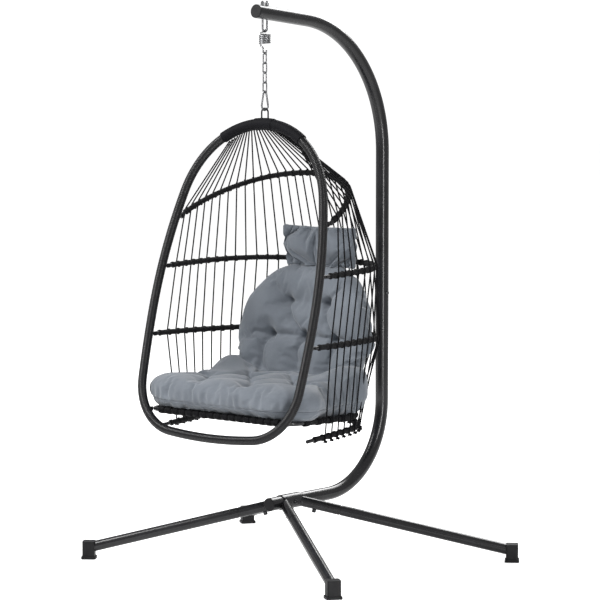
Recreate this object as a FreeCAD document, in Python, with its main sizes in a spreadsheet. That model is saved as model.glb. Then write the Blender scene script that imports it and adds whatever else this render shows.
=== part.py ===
import FreeCAD, Part
import math
import os
import Sketcher
from FreeCAD import Placement, Rotation, Vector

# A hanging egg chair: a corded basket on a spring and chain under a C-shaped floor stand.
# Millimetres and degrees. +Z is up, the sitter faces -Y and +X is the sitter's left.
# The origin lies on the floor, midway between the front feet and the back of the mast.
# "Behind" and "ahead" are distances from the hanging line, the plumb line of the basket.

SIZES = {
    # stand
    "hang_line_ahead": 168.6,
    "mast_dia": 48.0,
    "mast_wall": 1.8,
    "mast_behind": 660.0,
    "hub_height": 214.0,
    "hub_tip_behind": 22.0,
    "lower_bend_radius": 312.0,
    "mast_joint_height": 900.0,
    "upper_bend_height": 1448.0,
    "upper_bend_radius": 486.0,
    "arm_rise": 6.2,
    "arm_overhang": 45.0,
    "joint_sleeve_length": 180.0,
    "tube_fit": 0.2,
    "joint_bolt_above": 26.0,
    "bolt_dia": 8.0,
    "bolt_fit": 0.3,
    "bolt_head_dia": 15.0,
    "bolt_head_height": 5.5,
    "cap_thickness": 4.0,
    "cap_plug_length": 22.0,
    "hub_sleeve_wall": 3.2,
    "hub_sleeve_length": 104.0,
    "hub_middle_behind": 133.0,
    "leg_root_spread": 70.0,
    "leg_dia": 38.0,
    "leg_wall": 1.5,
    "leg_neck_dia": 34.0,
    "leg_neck_start": 52.0,
    "stub_length": 163.0,
    "leg_gap": 3.0,
    "leg_bolt_at": 72.0,
    "screw_bite": 3.0,
    "front_foot_side": 570.0,
    "front_foot_ahead": 312.0,
    "rear_foot_side": 630.0,
    "rear_foot_behind": 621.0,
    "foot_tube_height": 40.0,
    "foot_length": 44.0,
    "foot_width": 48.0,
    "foot_height": 64.0,
    "foot_lip": 4.0,
    "foot_lip_height": 9.0,
    "foot_corner": 6.0,
    # hanging gear
    "u_bolt_rod": 7.0,
    "u_bolt_spacing": 23.0,
    "u_bolt_seat_height": 1893.0,
    "u_bolt_stand_out": 17.0,
    "washer_dia": 15.0,
    "washer_thickness": 1.6,
    "washer_stand_off": 0.8,
    "nut_stand_off": 1.0,
    "dome_nut_dia": 13.0,
    "dome_nut_height": 12.0,
    "dome_nut_flats": 7.2,
    "dome_nut_tip_dia": 5.2,
    "link_gap": 0.3,
    "spring_wire": 5.4,
    "spring_dia": 42.0,
    "spring_turns": 5.0,
    "spring_top_height": 1883.0,
    "spring_body_length": 38.0,
    "spring_loop_radius": 7.2,
    "spring_hook_drop": 36.0,
    "chain_wire": 5.0,
    "chain_pitch": 34.0,
    "chain_width": 21.0,
    "clip_wire": 7.0,
    "clip_length": 74.0,
    "clip_wide": 40.0,
    "clip_narrow": 22.0,
    "gate_pin_share": 0.18,
    "gate_nose_share": 0.86,
    "gate_dia": 6.4,
    "gate_heel": 4.5,
    "gate_notch": 2.6,
    "gate_nose_gap": 0.5,
    "gate_tongue": 3.0,
    "gate_pin_dia": 2.4,
    "gate_pin_fit": 0.1,
    "eye_wire": 6.0,
    "eye_width": 36.0,
    # basket frame
    "hoop_top_height": 1567.0,
    "hoop_lean": 15.2,
    "hoop_half_width": 373.0,
    "hoop_rise": 678.0,
    "hoop_drop": 442.0,
    "hoop_top_angle": 76.0,
    "hoop_side_angle": 4.0,
    "hoop_corner_angle": 80.0,
    "hoop_bottom_radius": 1836.0,
    "hoop_tube": 25.0,
    "hoop_tube_wall": 1.2,
    "hoop_wrap_dia": 32.0,
    "crown_dia": 40.0,
    "crown_half_span": 182.0,
    "crown_pad_dia": 44.0,
    "crown_pad_half_span": 42.0,
    "rib_tube": 13.0,
    "rib_tube_wall": 1.2,
    "rib_wrap_dia": 19.5,
    "rib_bare_end": 34.0,
    "rib_end_gap": 0.8,
    "lug_hole_in": 12.0,
    "upper_rib_height": 1217.5,
    "upper_rib_depth": 382.0,
    "upper_rib_slope": 26.2,
    "upper_rib_side_angle": 4.0,
    "upper_rib_back_angle": 26.0,
    "upper_rib_side_radius": 540.0,
    "upper_rib_first_cord": 49.0,
    "middle_rib_height": 1056.0,
    "middle_rib_depth": 479.0,
    "middle_rib_slope": 1.6,
    "middle_rib_side_angle": 4.0,
    "middle_rib_back_angle": 6.0,
    "middle_rib_side_radius": 3000.0,
    "middle_rib_first_cord": 68.0,
    "lower_rib_height": 818.0,
    "lower_rib_depth": 543.5,
    "lower_rib_slope": -0.7,
    "lower_rib_side_angle": 16.0,
    "lower_rib_back_angle": 5.0,
    "lower_rib_side_radius": 1450.0,
    "lower_rib_first_cord": 87.0,
    "bottom_rib_height": 492.0,
    "bottom_rib_depth": 407.0,
    "bottom_rib_slope": 4.0,
    "bottom_rib_side_angle": 2.0,
    "bottom_rib_back_angle": 10.0,
    "bottom_rib_side_radius": 6000.0,
    "bottom_rib_first_cord": 80.0,
    "bottom_rib_half_width": 335.0,
    "bottom_rib_end_ahead": 165.0,
    "seat_tube": 16.0,
    "seat_tube_wall": 1.2,
    "seat_wrap_dia": 22.0,
    "seat_height": 560.0,
    "seat_depth": 509.0,
    "seat_slope": -1.7,
    "seat_side_angle": 5.0,
    "seat_back_angle": 4.0,
    "seat_side_radius": 3000.0,
    "seat_half_width": 328.0,
    "seat_setback": 29.0,
    "seat_front_corner": 45.0,
    "seat_wrap_start": 30.0,
    "front_wrap_margin": 2.0,
    "seat_tab_bed": 1.1,
    "strap_width": 36.0,
    "strap_thickness": 2.0,
    "lug_thickness": 3.0,
    "lug_gap": 0.6,
    "lug_width": 15.0,
    "rivet_dia": 6.0,
    "rivet_head_dia": 11.0,
    "rivet_head_height": 3.0,
    "plug_length": 14.0,
    "plug_rim_height": 3.0,
    # cords
    "cord_dia": 5.0,
    "cord_count": 34.0,
    "cord_tail": 12.0,
    "short_run_share": 0.48,
    "crown_cord_half_span": 168.0,
    # soft parts
    "seat_pad_width": 684.0,
    "seat_pad_front": -292.0,
    "seat_pad_depth": 520.0,
    "seat_pad_thickness": 105.0,
    "seat_pad_round": 42.0,
    "seat_pad_corner": 178.0,
    "back_pad_width": 590.0,
    "back_pad_height": 432.0,
    "back_pad_thickness": 88.0,
    "back_pad_lean": 8.0,
    "back_pad_behind": 257.0,
    "back_pad_radius": 900.0,
    "back_pad_corner": 150.0,
    "back_pad_sunk": 58.0,
    "pillow_width": 326.0,
    "pillow_height": 150.0,
    "pillow_thickness": 80.0,
    "pillow_round": 30.0,
    "pillow_set_back": -26.0,
    "soft_gap": 0.3,
}

STRAIGHT_ENOUGH = 1e-4

DOC = FreeCAD.newDocument("HangingEggChair")
SHEET = DOC.addObject("Spreadsheet::Sheet", "Sizes")
for row, (alias, value) in enumerate(SIZES.items(), start=1):
    SHEET.set("A%d" % row, alias.replace("_", " "))
    SHEET.set("B%d" % row, str(value))
    SHEET.setAlias("B%d" % row, alias)
DOC.recompute()

SUB_PARTS = []
X, Y, Z = Vector(1, 0, 0), Vector(0, 1, 0), Vector(0, 0, 1)
MAST_PLANE = Rotation(Vector(1, 1, 1), 120)


def size(alias):
    """Read one driving dimension from the sheet."""
    return float(SHEET.get(alias))


def place(side, behind, height, rotation=Rotation()):
    """A placement given from the hanging line: to the side, behind it and above the floor."""
    return Placement(Vector(side, behind - size("hang_line_ahead"), height), rotation)


def keep(item, label):
    """Name an object as a sub-part that is written to its own file."""
    item.Label = label
    SUB_PARTS.append(item)
    return item


class Route:
    """A flat path of straight runs and tangent arcs. A positive turn bends to the left."""

    def __init__(self, x, y, heading):
        self.here = Vector(x, y, 0)
        self.start = Vector(x, y, 0)
        self.heading = heading
        self.first_heading = heading
        self.edges = []

    def forward(self, heading):
        """The unit vector of a heading in degrees."""
        return Vector(math.cos(math.radians(heading)), math.sin(math.radians(heading)), 0)

    def run(self, length):
        """Go straight on."""
        there = self.here + self.forward(self.heading) * length
        self.edges.append(Part.LineSegment(self.here, there))
        self.here = there
        return self

    def bend(self, radius, turn):
        """Follow an arc of this radius through this turn."""
        side = 90 if turn > 0 else -90
        centre = self.here + self.forward(self.heading + side) * radius
        middle = centre - self.forward(self.heading + side + turn / 2) * radius
        there = centre - self.forward(self.heading + side + turn) * radius
        self.edges.append(Part.Arc(self.here, middle, there))
        self.here = there
        self.heading += turn
        return self

    def turn(self, angle):
        """Change heading on the spot."""
        self.heading += angle
        return self

    def wire(self):
        """The route as one wire."""
        return Part.Wire([edge.toShape() for edge in self.edges])


def origin_plane(body, role):
    """One of a body's own origin planes."""
    return next(item for item in body.Origin.OriginFeatures if item.Role == role)


def sketch_on(body, role, name):
    """A sketch on one of the body's own planes."""
    sketch = body.newObject("Sketcher::SketchObject", name)
    sketch.AttachmentSupport = [(origin_plane(body, role), "")]
    sketch.MapMode = "FlatFace"
    return sketch


def round_profile(body, route, diameter):
    """A circle across a route's start, its diameter bound to the sheet."""
    profile = body.newObject("Sketcher::SketchObject", "Profile")
    profile.Placement = Placement(route.start, Rotation(Z, route.forward(route.first_heading)))
    profile.addGeometry(Part.Circle(Vector(), Z, 5.0), False)
    profile.addConstraint(Sketcher.Constraint("Coincident", 0, 3, -1, 1))
    number = profile.addConstraint(Sketcher.Constraint("Diameter", 0, 10.0))
    profile.setExpression("Constraints[%d]" % number, diameter)
    return profile


def pipe_body(label, route, diameters, placement):
    """A rod swept along a flat route, and bored to the second diameter if there is one."""
    body = DOC.addObject("PartDesign::Body", label + "_body")
    path = sketch_on(body, "XY_Plane", "Path")
    for edge in route.edges:
        path.addGeometry(edge, False)
    for kind, diameter in zip(("AdditivePipe", "SubtractivePipe"), diameters):
        profile = round_profile(body, route, diameter)
        DOC.recompute()
        pipe = body.newObject("PartDesign::" + kind, kind)
        pipe.Profile = profile
        pipe.Spine = (path, [])
        DOC.recompute()
    body.Placement = placement
    DOC.recompute()
    return body


def turned_body(label, outline, placement):
    """A piece turned about its own Z axis from (radius, height) corners."""
    body = DOC.addObject("PartDesign::Body", label + "_body")
    sketch = sketch_on(body, "XZ_Plane", "Outline")
    corners = [Vector(radius, height, 0) for radius, height in outline]
    for first, second in zip(corners, corners[1:] + corners[:1]):
        sketch.addGeometry(Part.LineSegment(first, second), False)
    DOC.recompute()
    turn = body.newObject("PartDesign::Revolution", "Turn")
    turn.Profile = sketch
    turn.ReferenceAxis = (sketch, ["V_Axis"])
    turn.Angle = 360
    body.Placement = placement
    DOC.recompute()
    return body


def padded_body(label, route, thickness, placement, rounding=None):
    """A flat outline padded to a thickness, with its edges rounded where asked."""
    body = DOC.addObject("PartDesign::Body", label + "_body")
    sketch = sketch_on(body, "XY_Plane", "Outline")
    for edge in route.edges:
        sketch.addGeometry(edge, False)
    pad = body.newObject("PartDesign::Pad", "Pad")
    pad.Profile = sketch
    pad.setExpression("Length", thickness)
    DOC.recompute()
    if rounding:
        edge_names = rim_edges(pad.Shape)
        fillet = body.newObject("PartDesign::Fillet", "Rounding")
        fillet.Base = (pad, edge_names)
        fillet.setExpression("Radius", rounding)
    body.Placement = placement
    DOC.recompute()
    return body


def rim_edges(shape):
    """The names of the edges that lie flat in a pad's bottom or top face."""
    names = []
    for number, edge in enumerate(shape.Edges, start=1):
        if edge.BoundBox.ZLength < 0.01:
            names.append("Edge%d" % number)
    return names


def rod(label, radius, height, placement):
    """A cylinder whose radius and height are sheet expressions."""
    cylinder = DOC.addObject("Part::Cylinder", label)
    cylinder.setExpression("Radius", radius)
    cylinder.setExpression("Height", height)
    cylinder.Placement = placement
    return cylinder


def fused(label, pieces):
    """Several solids joined into one."""
    fuse = DOC.addObject("Part::MultiFuse", label)
    fuse.Shapes = pieces
    DOC.recompute()
    return fuse


def cut_from(label, base, tools):
    """A solid with one or more others cut out of it."""
    cut = DOC.addObject("Part::Cut", label)
    cut.Base = base
    cut.Tool = tools[0] if len(tools) == 1 else fused(label + "_tools", tools)
    DOC.recompute()
    return cut


def shape_part(label, shape, placement=None):
    """A sub-part whose shape is made with Part's own functions."""
    feature = DOC.addObject("Part::Feature", label)
    feature.Shape = shape
    if placement:
        feature.Placement = placement
    return keep(feature, label)


def rounded_wire(points, radius):
    """A path of straight runs joined by tangent arcs of one radius, kept inside short runs."""
    edges = []
    here = points[0]
    for before, corner, after in zip(points, points[1:], points[2:]):
        back, ahead = before - corner, after - corner
        turn = math.pi - back.getAngle(ahead)
        if turn < STRAIGHT_ENOUGH:
            continue
        reach = min(radius * math.tan(turn / 2), size("short_run_share") * min(back.Length, ahead.Length))
        back.normalize()
        ahead.normalize()
        enter, leave = corner + back * reach, corner + ahead * reach
        bisector = back + ahead
        bisector.normalize()
        true_radius = reach / math.tan(turn / 2)
        middle = corner + bisector * (true_radius / math.cos(turn / 2) - true_radius)
        edges.append(Part.LineSegment(here, enter).toShape())
        edges.append(Part.Arc(enter, middle, leave).toShape())
        here = leave
    edges.append(Part.LineSegment(here, points[-1]).toShape())
    return Part.Wire(edges)


def wire_form(wire, diameter):
    """Round wire of one diameter along a path."""
    start = wire.Edges[0].firstVertex(True).Point
    tangent = wire.Edges[0].tangentAt(wire.Edges[0].FirstParameter)
    circle = Part.Wire([Part.Circle(start, tangent, diameter / 2).toShape()])
    return wire.makePipeShell([circle], True, False)


# ---------------------------------------------------------------- stand

def mast_tubes():
    """The two bent tubes of the mast, the sleeve inside their joint and its bolt."""
    wall, dia = size("mast_wall"), size("mast_dia")
    tube = ["Sizes.mast_dia", "Sizes.mast_dia - 2 * Sizes.mast_wall"]
    bend = size("lower_bend_radius")
    hub_run = size("mast_behind") - bend - size("hub_tip_behind")
    joint = size("mast_joint_height")
    lower = Route(size("hub_tip_behind"), size("hub_height"), 0)
    lower.run(hub_run).bend(bend, 90).run(joint - size("hub_height") - bend)
    upper = Route(size("mast_behind"), joint, 90)
    upper.run(size("upper_bend_height") - joint)
    upper.bend(size("upper_bend_radius"), 90 - size("arm_rise"))
    slope = math.radians(size("arm_rise"))
    arm_run = (upper.here.x + size("arm_overhang")) / math.cos(slope)
    upper.run(arm_run)
    lower_tube = pipe_body("mast_lower", lower, tube, place(0, 0, 0, MAST_PLANE))
    upper_tube = pipe_body("mast_upper", upper, tube, place(0, 0, 0, MAST_PLANE))

    bolt_height = joint + size("joint_bolt_above")
    across = Rotation(Y, 90)
    hole_radius = "Sizes.bolt_dia / 2 + Sizes.bolt_fit"
    joint_hole = rod("joint_hole", hole_radius, "2 * Sizes.mast_dia",
                     place(-dia, size("mast_behind"), bolt_height, across))
    hub_hole = rod("hub_hole", hole_radius, "2 * Sizes.mast_dia",
                   place(-dia, size("hub_middle_behind"), size("hub_height"), across))
    keep(cut_from("mast_lower", lower_tube, [hub_hole]), "mast_lower")

    u_bolt_holes = []
    for side in (-1, 1):
        u_bolt_holes.append(rod("u_bolt_hole", "Sizes.u_bolt_rod / 2 + Sizes.bolt_fit", "4 * Sizes.mast_dia",
                                place(0, side * size("u_bolt_spacing") / 2, arm_height(0) - 2 * dia)))
    keep(cut_from("mast_upper", upper_tube, [joint_hole] + u_bolt_holes), "mast_upper")

    outer = dia / 2 - wall - size("tube_fit")
    inner = outer - wall
    half = size("joint_sleeve_length") / 2
    sleeve = turned_body("mast_joint_sleeve", [(inner, -half), (outer, -half), (outer, half), (inner, half)],
                         place(0, size("mast_behind"), joint))
    sleeve_hole = rod("sleeve_hole", hole_radius, "2 * Sizes.mast_dia",
                      place(-dia, size("mast_behind"), bolt_height, across))
    keep(cut_from("mast_joint_sleeve", sleeve, [sleeve_hole]), "mast_joint_sleeve")
    through_bolt("mast_joint_bolt", dia / 2, place(0, size("mast_behind"), bolt_height, across))
    reach = dia / 2 + size("hub_sleeve_wall") + size("tube_fit")
    through_bolt("hub_bolt", reach, place(0, size("hub_middle_behind"), size("hub_height"), across))


def arm_height(behind):
    """Height of the arm's centre line at a distance behind the hanging line."""
    slope = math.radians(size("arm_rise"))
    bend = size("upper_bend_radius")
    end_behind = size("mast_behind") - bend + bend * math.sin(slope)
    end_height = size("upper_bend_height") + bend * math.cos(slope)
    return end_height + (end_behind - behind) * math.tan(slope)


def through_bolt(label, reach, placement):
    """A domed bolt through a tube along its own Z, with a nut on the far side."""
    shank = size("bolt_dia") / 2
    head, height = size("bolt_head_dia") / 2, size("bolt_head_height")
    gap = size("tube_fit")
    outline = [(0, -reach - height - gap), (head * 0.7, -reach - height - gap), (head, -reach - height * 0.4),
               (head, -reach - gap), (shank, -reach - gap), (shank, reach + gap), (head, reach + gap),
               (head, reach + height * 0.45), (head * 0.55, reach + height + gap), (0, reach + height + gap)]
    keep(turned_body(label, outline, placement), label)


def end_caps():
    """The plastic plugs in the arm's tip and in the front end of the hub tube."""
    radius = size("mast_dia") / 2
    bore = radius - size("mast_wall") - size("tube_fit")
    thick, plug = size("cap_thickness"), size("cap_plug_length")
    outline = [(0, -plug), (bore - 2, -plug), (bore, 2 - plug), (bore, 0), (radius, 0),
               (radius, thick * 0.6), (radius - 2, thick), (0, thick)]
    tip = size("arm_overhang")
    tilt = Rotation(X, 90 - size("arm_rise"))
    keep(turned_body("arm_end_cap", outline, place(0, -tip, arm_height(-tip), tilt)), "arm_end_cap")
    hub = place(0, size("hub_tip_behind"), size("hub_height"), Rotation(X, 90))
    keep(turned_body("hub_end_cap", outline, hub), "hub_end_cap")


def leg_axes():
    """Each leg's name, root on the hub line and unit direction down to its foot."""
    legs = []
    spread = size("leg_root_spread") / 2
    for end, foot_side, foot_behind, root in (
            ("front", size("front_foot_side"), -size("front_foot_ahead"), -spread),
            ("rear", size("rear_foot_side"), size("rear_foot_behind"), spread)):
        for hand, sign in (("left", 1), ("right", -1)):
            start = place(0, size("hub_middle_behind") + root, size("hub_height")).Base
            foot = place(sign * foot_side, foot_behind, size("foot_tube_height")).Base
            legs.append(("%s_%s" % (end, hand), start, foot))
    return legs


def leg_frame(start, foot):
    """A placement at a leg's root with Z along the leg and its own Y level, so X points down."""
    along = (foot - start).normalize()
    level = Z.cross(along).normalize()
    down = level.cross(along)
    return Placement(start, Rotation(down, level, along, "ZYX"))


def base_hub_and_legs():
    """The hub sleeve with its four welded stubs, the legs in them, their bolts and foot caps."""
    length = size("hub_sleeve_length")
    along_hub = Rotation(X, 90)
    hub_start = place(0, size("hub_middle_behind") + length / 2, size("hub_height"), along_hub)
    solids = [rod("hub_sleeve", "Sizes.mast_dia / 2 + Sizes.tube_fit + Sizes.hub_sleeve_wall",
                  "Sizes.hub_sleeve_length", hub_start)]
    long_start = place(0, size("hub_middle_behind") + 2 * length, size("hub_height"), along_hub)
    tools = [rod("hub_bore", "Sizes.mast_dia / 2 + Sizes.tube_fit", "4 * Sizes.hub_sleeve_length", long_start)]
    cross = place(-size("mast_dia"), size("hub_middle_behind"), size("hub_height"), Rotation(Y, 90))
    tools.append(rod("hub_bolt_hole", "Sizes.bolt_dia / 2 + Sizes.bolt_fit", "2 * Sizes.mast_dia", cross))
    bolts = []
    for name, start, foot in leg_axes():
        frame = leg_frame(start, foot)
        solids.append(rod("stub_" + name, "Sizes.leg_dia / 2", "Sizes.stub_length", frame))
        mouth = frame.multiply(Placement(Vector(0, 0, size("leg_neck_start") - 3), Rotation()))
        tools.append(rod("stub_bore_" + name, "Sizes.leg_neck_dia / 2 + Sizes.tube_fit",
                         "Sizes.stub_length", mouth))
        screw = frame.multiply(Placement(Vector(0, 0, size("leg_bolt_at")), Rotation(Y, 90)))
        tools.append(rod("stub_screw_hole_" + name, "Sizes.bolt_dia / 2 + Sizes.bolt_fit",
                         "Sizes.leg_dia", screw))
        bolts.append(leg_screw(screw))
        leg_tube(name, frame, (foot - start).Length, screw)
        foot_cap(name, start, foot)
    hub = fused("hub_blank", solids)
    keep(cut_from("base_hub", hub, tools), "base_hub")
    shape_part("leg_screws", Part.makeCompound(bolts))


def leg_screw(placement):
    """A screw that enters a stub from below and pinches the leg's neck."""
    outer = size("leg_dia") / 2
    inner = size("leg_neck_dia") / 2 - size("leg_wall") - size("screw_bite")
    gap = size("tube_fit")
    head = size("bolt_head_dia") / 2
    shank = Part.makeCylinder(size("bolt_dia") / 2, outer - inner, Vector(0, 0, inner))
    flange = Part.makeCylinder(head, 2 * size("bolt_head_height"), Vector(0, 0, outer + gap))
    screw = shank.fuse(Part.makeCylinder(size("bolt_dia") / 2, gap * 2, Vector(0, 0, outer - gap))).fuse(flange)
    screw = screw.removeSplitter()
    screw.Placement = placement
    return screw


def leg_tube(name, frame, length, screw):
    """A leg: full-size tube from the stub to the foot and a narrowed neck inside the stub."""
    outer, neck, wall = size("leg_dia") / 2, size("leg_neck_dia") / 2, size("leg_wall")
    start = size("leg_neck_start")
    shoulder = size("stub_length") + size("leg_gap")
    outline = [(neck - wall, start), (neck, start), (neck, shoulder), (outer, shoulder), (outer, length),
               (outer - wall, length), (outer - wall, shoulder + wall), (neck - wall, shoulder + wall)]
    tube = turned_body("leg_" + name, outline, frame)
    hole = rod("leg_screw_hole_" + name, "Sizes.bolt_dia / 2 + Sizes.bolt_fit", "Sizes.leg_dia", screw)
    keep(cut_from("leg_" + name, tube, [hole]), "leg_" + name)


def foot_cap(name, start, foot):
    """A boxy plastic foot with a lip at the floor, holding a leg's end in a blind socket."""
    length, width, height = size("foot_length"), size("foot_width"), size("foot_height")
    lip = size("foot_lip")
    heading = math.degrees(math.atan2(foot.y - start.y, foot.x - start.x))
    floor = Placement(Vector(foot.x, foot.y, 0), Rotation(Z, heading))
    shell = padded_body("foot_shell_" + name, block_route(length, width, size("foot_corner")), "Sizes.foot_height", floor)
    sole = padded_body("foot_sole_" + name, block_route(length + 2 * lip, width + 2 * lip, size("foot_corner") + lip / 2),
                       "Sizes.foot_lip_height", floor)
    frame = leg_frame(start, foot)
    reach = (foot - start).Length
    sunk = frame.multiply(Placement(Vector(0, 0, reach - 2 * length), Rotation()))
    socket = rod("foot_socket_" + name, "Sizes.leg_dia / 2 + Sizes.tube_fit",
                 "2 * Sizes.foot_length + Sizes.tube_fit", sunk)
    cap = fused("foot_blank_" + name, [shell, sole])
    keep(cut_from("foot_" + name, cap, [socket]), "foot_" + name)


def block_route(length, width, corner):
    """A rectangle with rounded corners, centred on the origin."""
    route = Route(-length / 2 + corner, -width / 2, 0)
    for side in (length, width, length, width):
        route.run(side - 2 * corner).bend(corner, 90)
    return route


# ---------------------------------------------------------------- hanging gear

def u_bolt():
    """The bright U-bolt through the arm, with its washers and dome nuts."""
    rod_dia = size("u_bolt_rod")
    half = size("u_bolt_spacing") / 2
    bottom = size("u_bolt_seat_height") - rod_dia / 2
    top = arm_height(0) + size("mast_dia") / 2 + size("u_bolt_stand_out")
    route = Route(-half, top, -90)
    route.run(top - bottom - half).bend(half, 180).run(top - bottom - half)
    keep(pipe_body("u_bolt", route, ["Sizes.u_bolt_rod"], place(0, 0, 0, MAST_PLANE)), "u_bolt")
    washers, nuts = [], []
    gap = size("tube_fit")
    for side in (-1, 1):
        behind = side * half
        seat = arm_height(behind) + size("mast_dia") / 2 / math.cos(math.radians(size("arm_rise")))
        tilt = Rotation(X, -size("arm_rise"))
        washer = Part.makeCylinder(size("washer_dia") / 2, size("washer_thickness"))
        washer_floor = seat + gap + size("washer_stand_off")
        washer.Placement = place(0, behind, washer_floor, tilt)
        bore = Part.makeCylinder(rod_dia / 2 + size("bolt_fit"), size("mast_dia"))
        bore.Placement = place(0, behind, seat - size("mast_dia") / 2)
        washers.append(washer.cut(bore))
        nut_floor = washer_floor + size("washer_thickness") + size("nut_stand_off")
        dome_height = size("dome_nut_height") - size("dome_nut_flats")
        nut = Part.makeCylinder(size("dome_nut_dia") / 2, size("dome_nut_flats"))
        dome = Part.makeCone(size("dome_nut_dia") / 2, size("dome_nut_tip_dia") / 2, dome_height,
                             Vector(0, 0, size("dome_nut_flats")))
        nut = nut.fuse(dome).removeSplitter()
        nut.Placement = place(0, behind, nut_floor)
        blind = Part.makeCylinder(rod_dia / 2 + gap / 2, top + gap - washer_floor)
        blind.Placement = place(0, behind, washer_floor)
        nuts.append(nut.cut(blind))
    shape_part("u_bolt_washers", Part.makeCompound(washers))
    shape_part("u_bolt_nuts", Part.makeCompound(nuts))


def spring():
    """The barrel spring: an open top loop, five turns and a long open bottom hook."""
    wire, gap = size("spring_wire"), size("link_gap")
    mean = (size("spring_dia") - wire) / 2
    loop = size("spring_loop_radius")
    turns = size("spring_turns")
    pitch = (size("spring_body_length") - wire) / turns
    first = size("spring_top_height") - wire / 2
    last = first - pitch * turns
    helix = Part.makeHelix(pitch, pitch * turns, mean)
    helix.rotate(Vector(), X, 180)
    helix.translate(Vector(0, 0, first))
    helix.rotate(Vector(), Z, 180)
    circle = Part.Wire([Part.Circle(Vector(-mean, 0, first), Y, wire / 2).toShape()])
    coil = Part.Wire(helix.Edges).makePipeShell([circle], True, True)
    shape_part("spring_coil", coil, place(0, 0, 0))

    seat = top_hook_height()
    foot = first + wire / 2 + gap
    top_points = [Vector(-mean, 0, foot), Vector(-mean, 0, foot + wire / 2), Vector(-loop, 0, foot + wire),
                  Vector(-loop, 0, seat), Vector(loop, 0, seat), Vector(loop, 0, seat - loop - gap)]
    shape_part("spring_top_hook", wire_form(rounded_wire(top_points, loop), wire), place(0, 0, 0))

    low = bottom_hook_height()
    neck = last - wire / 2 - gap
    bottom_points = [Vector(-mean, 0, neck), Vector(-mean, 0, neck - wire), Vector(-loop, 0, neck - 2 * wire),
                     Vector(-loop, 0, low), Vector(loop, 0, low), Vector(loop, 0, low + 2 * loop)]
    shape_part("spring_bottom_hook", wire_form(rounded_wire(bottom_points, loop), wire), place(0, 0, 0))


def top_hook_height():
    """Height of the spring's top loop, where it rests in the U-bolt."""
    return size("u_bolt_seat_height") + size("link_gap") + size("spring_wire") / 2


def bottom_hook_height():
    """Height of the middle of the wire at the lowest point of the spring's bottom hook."""
    return (size("spring_top_height") - size("spring_body_length") - size("spring_hook_drop")
            + size("spring_wire") / 2)


def link_top_height(number):
    """Height of the wire's middle at the top of a chain link, counted from 0."""
    first = bottom_hook_height() + (size("spring_wire") + size("chain_wire")) / 2 + size("link_gap")
    return first - number * size("chain_pitch")


def chain():
    """Four chain links, each turned a quarter against the last."""
    radius = (size("chain_width") - size("chain_wire")) / 2
    length = size("chain_pitch") + size("chain_wire") + size("link_gap")
    straight = length - 2 * radius
    for number in range(4):
        route = Route(radius, 0, 90)
        route.run(straight).bend(radius, 180).run(straight).bend(radius, 180)
        quarter = Rotation(Z, 90 if number % 2 == 0 else 0)
        low = link_top_height(number) - length + radius
        label = "chain_link_%d" % (number + 1)
        upright = place(0, 0, low, quarter.multiply(Rotation(X, 90)))
        keep(pipe_body(label, route, ["Sizes.chain_wire"], upright), label)


def clip_top_height():
    """Height of the wire's middle at the top of the clip."""
    last_low = link_top_height(4) - size("chain_wire") - size("link_gap")
    return last_low + (size("chain_wire") + size("clip_wire")) / 2 + size("link_gap")


def clip_bottom_height():
    """Height of the wire's middle at the bottom of the clip."""
    return clip_top_height() - size("clip_length") + size("clip_wire")


def clip_lines():
    """The clip's end circles and its two straight sides, as (behind, height) points."""
    wire = size("clip_wire")
    small, large = (size("clip_narrow") - wire) / 2, (size("clip_wide") - wire) / 2
    top = Vector(0, 0, clip_top_height() - small)
    bottom = Vector(0, 0, clip_bottom_height() + large)
    lean = math.asin((large - small) / (top - bottom).Length)
    sides = []
    for outward in (-1, 1):
        normal = Vector(0, outward * math.cos(lean), math.sin(lean))
        sides.append((top + normal * small, bottom + normal * large))
    return top, bottom, small, large, sides


def gate_ends():
    """The gate's pin and the end of its nose, as (behind, height) points on the clip's slanted side."""
    gate_top, gate_bottom = clip_lines()[4][0]
    side = gate_bottom - gate_top
    return gate_top + side * size("gate_pin_share"), gate_top + side * size("gate_nose_share")


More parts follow.
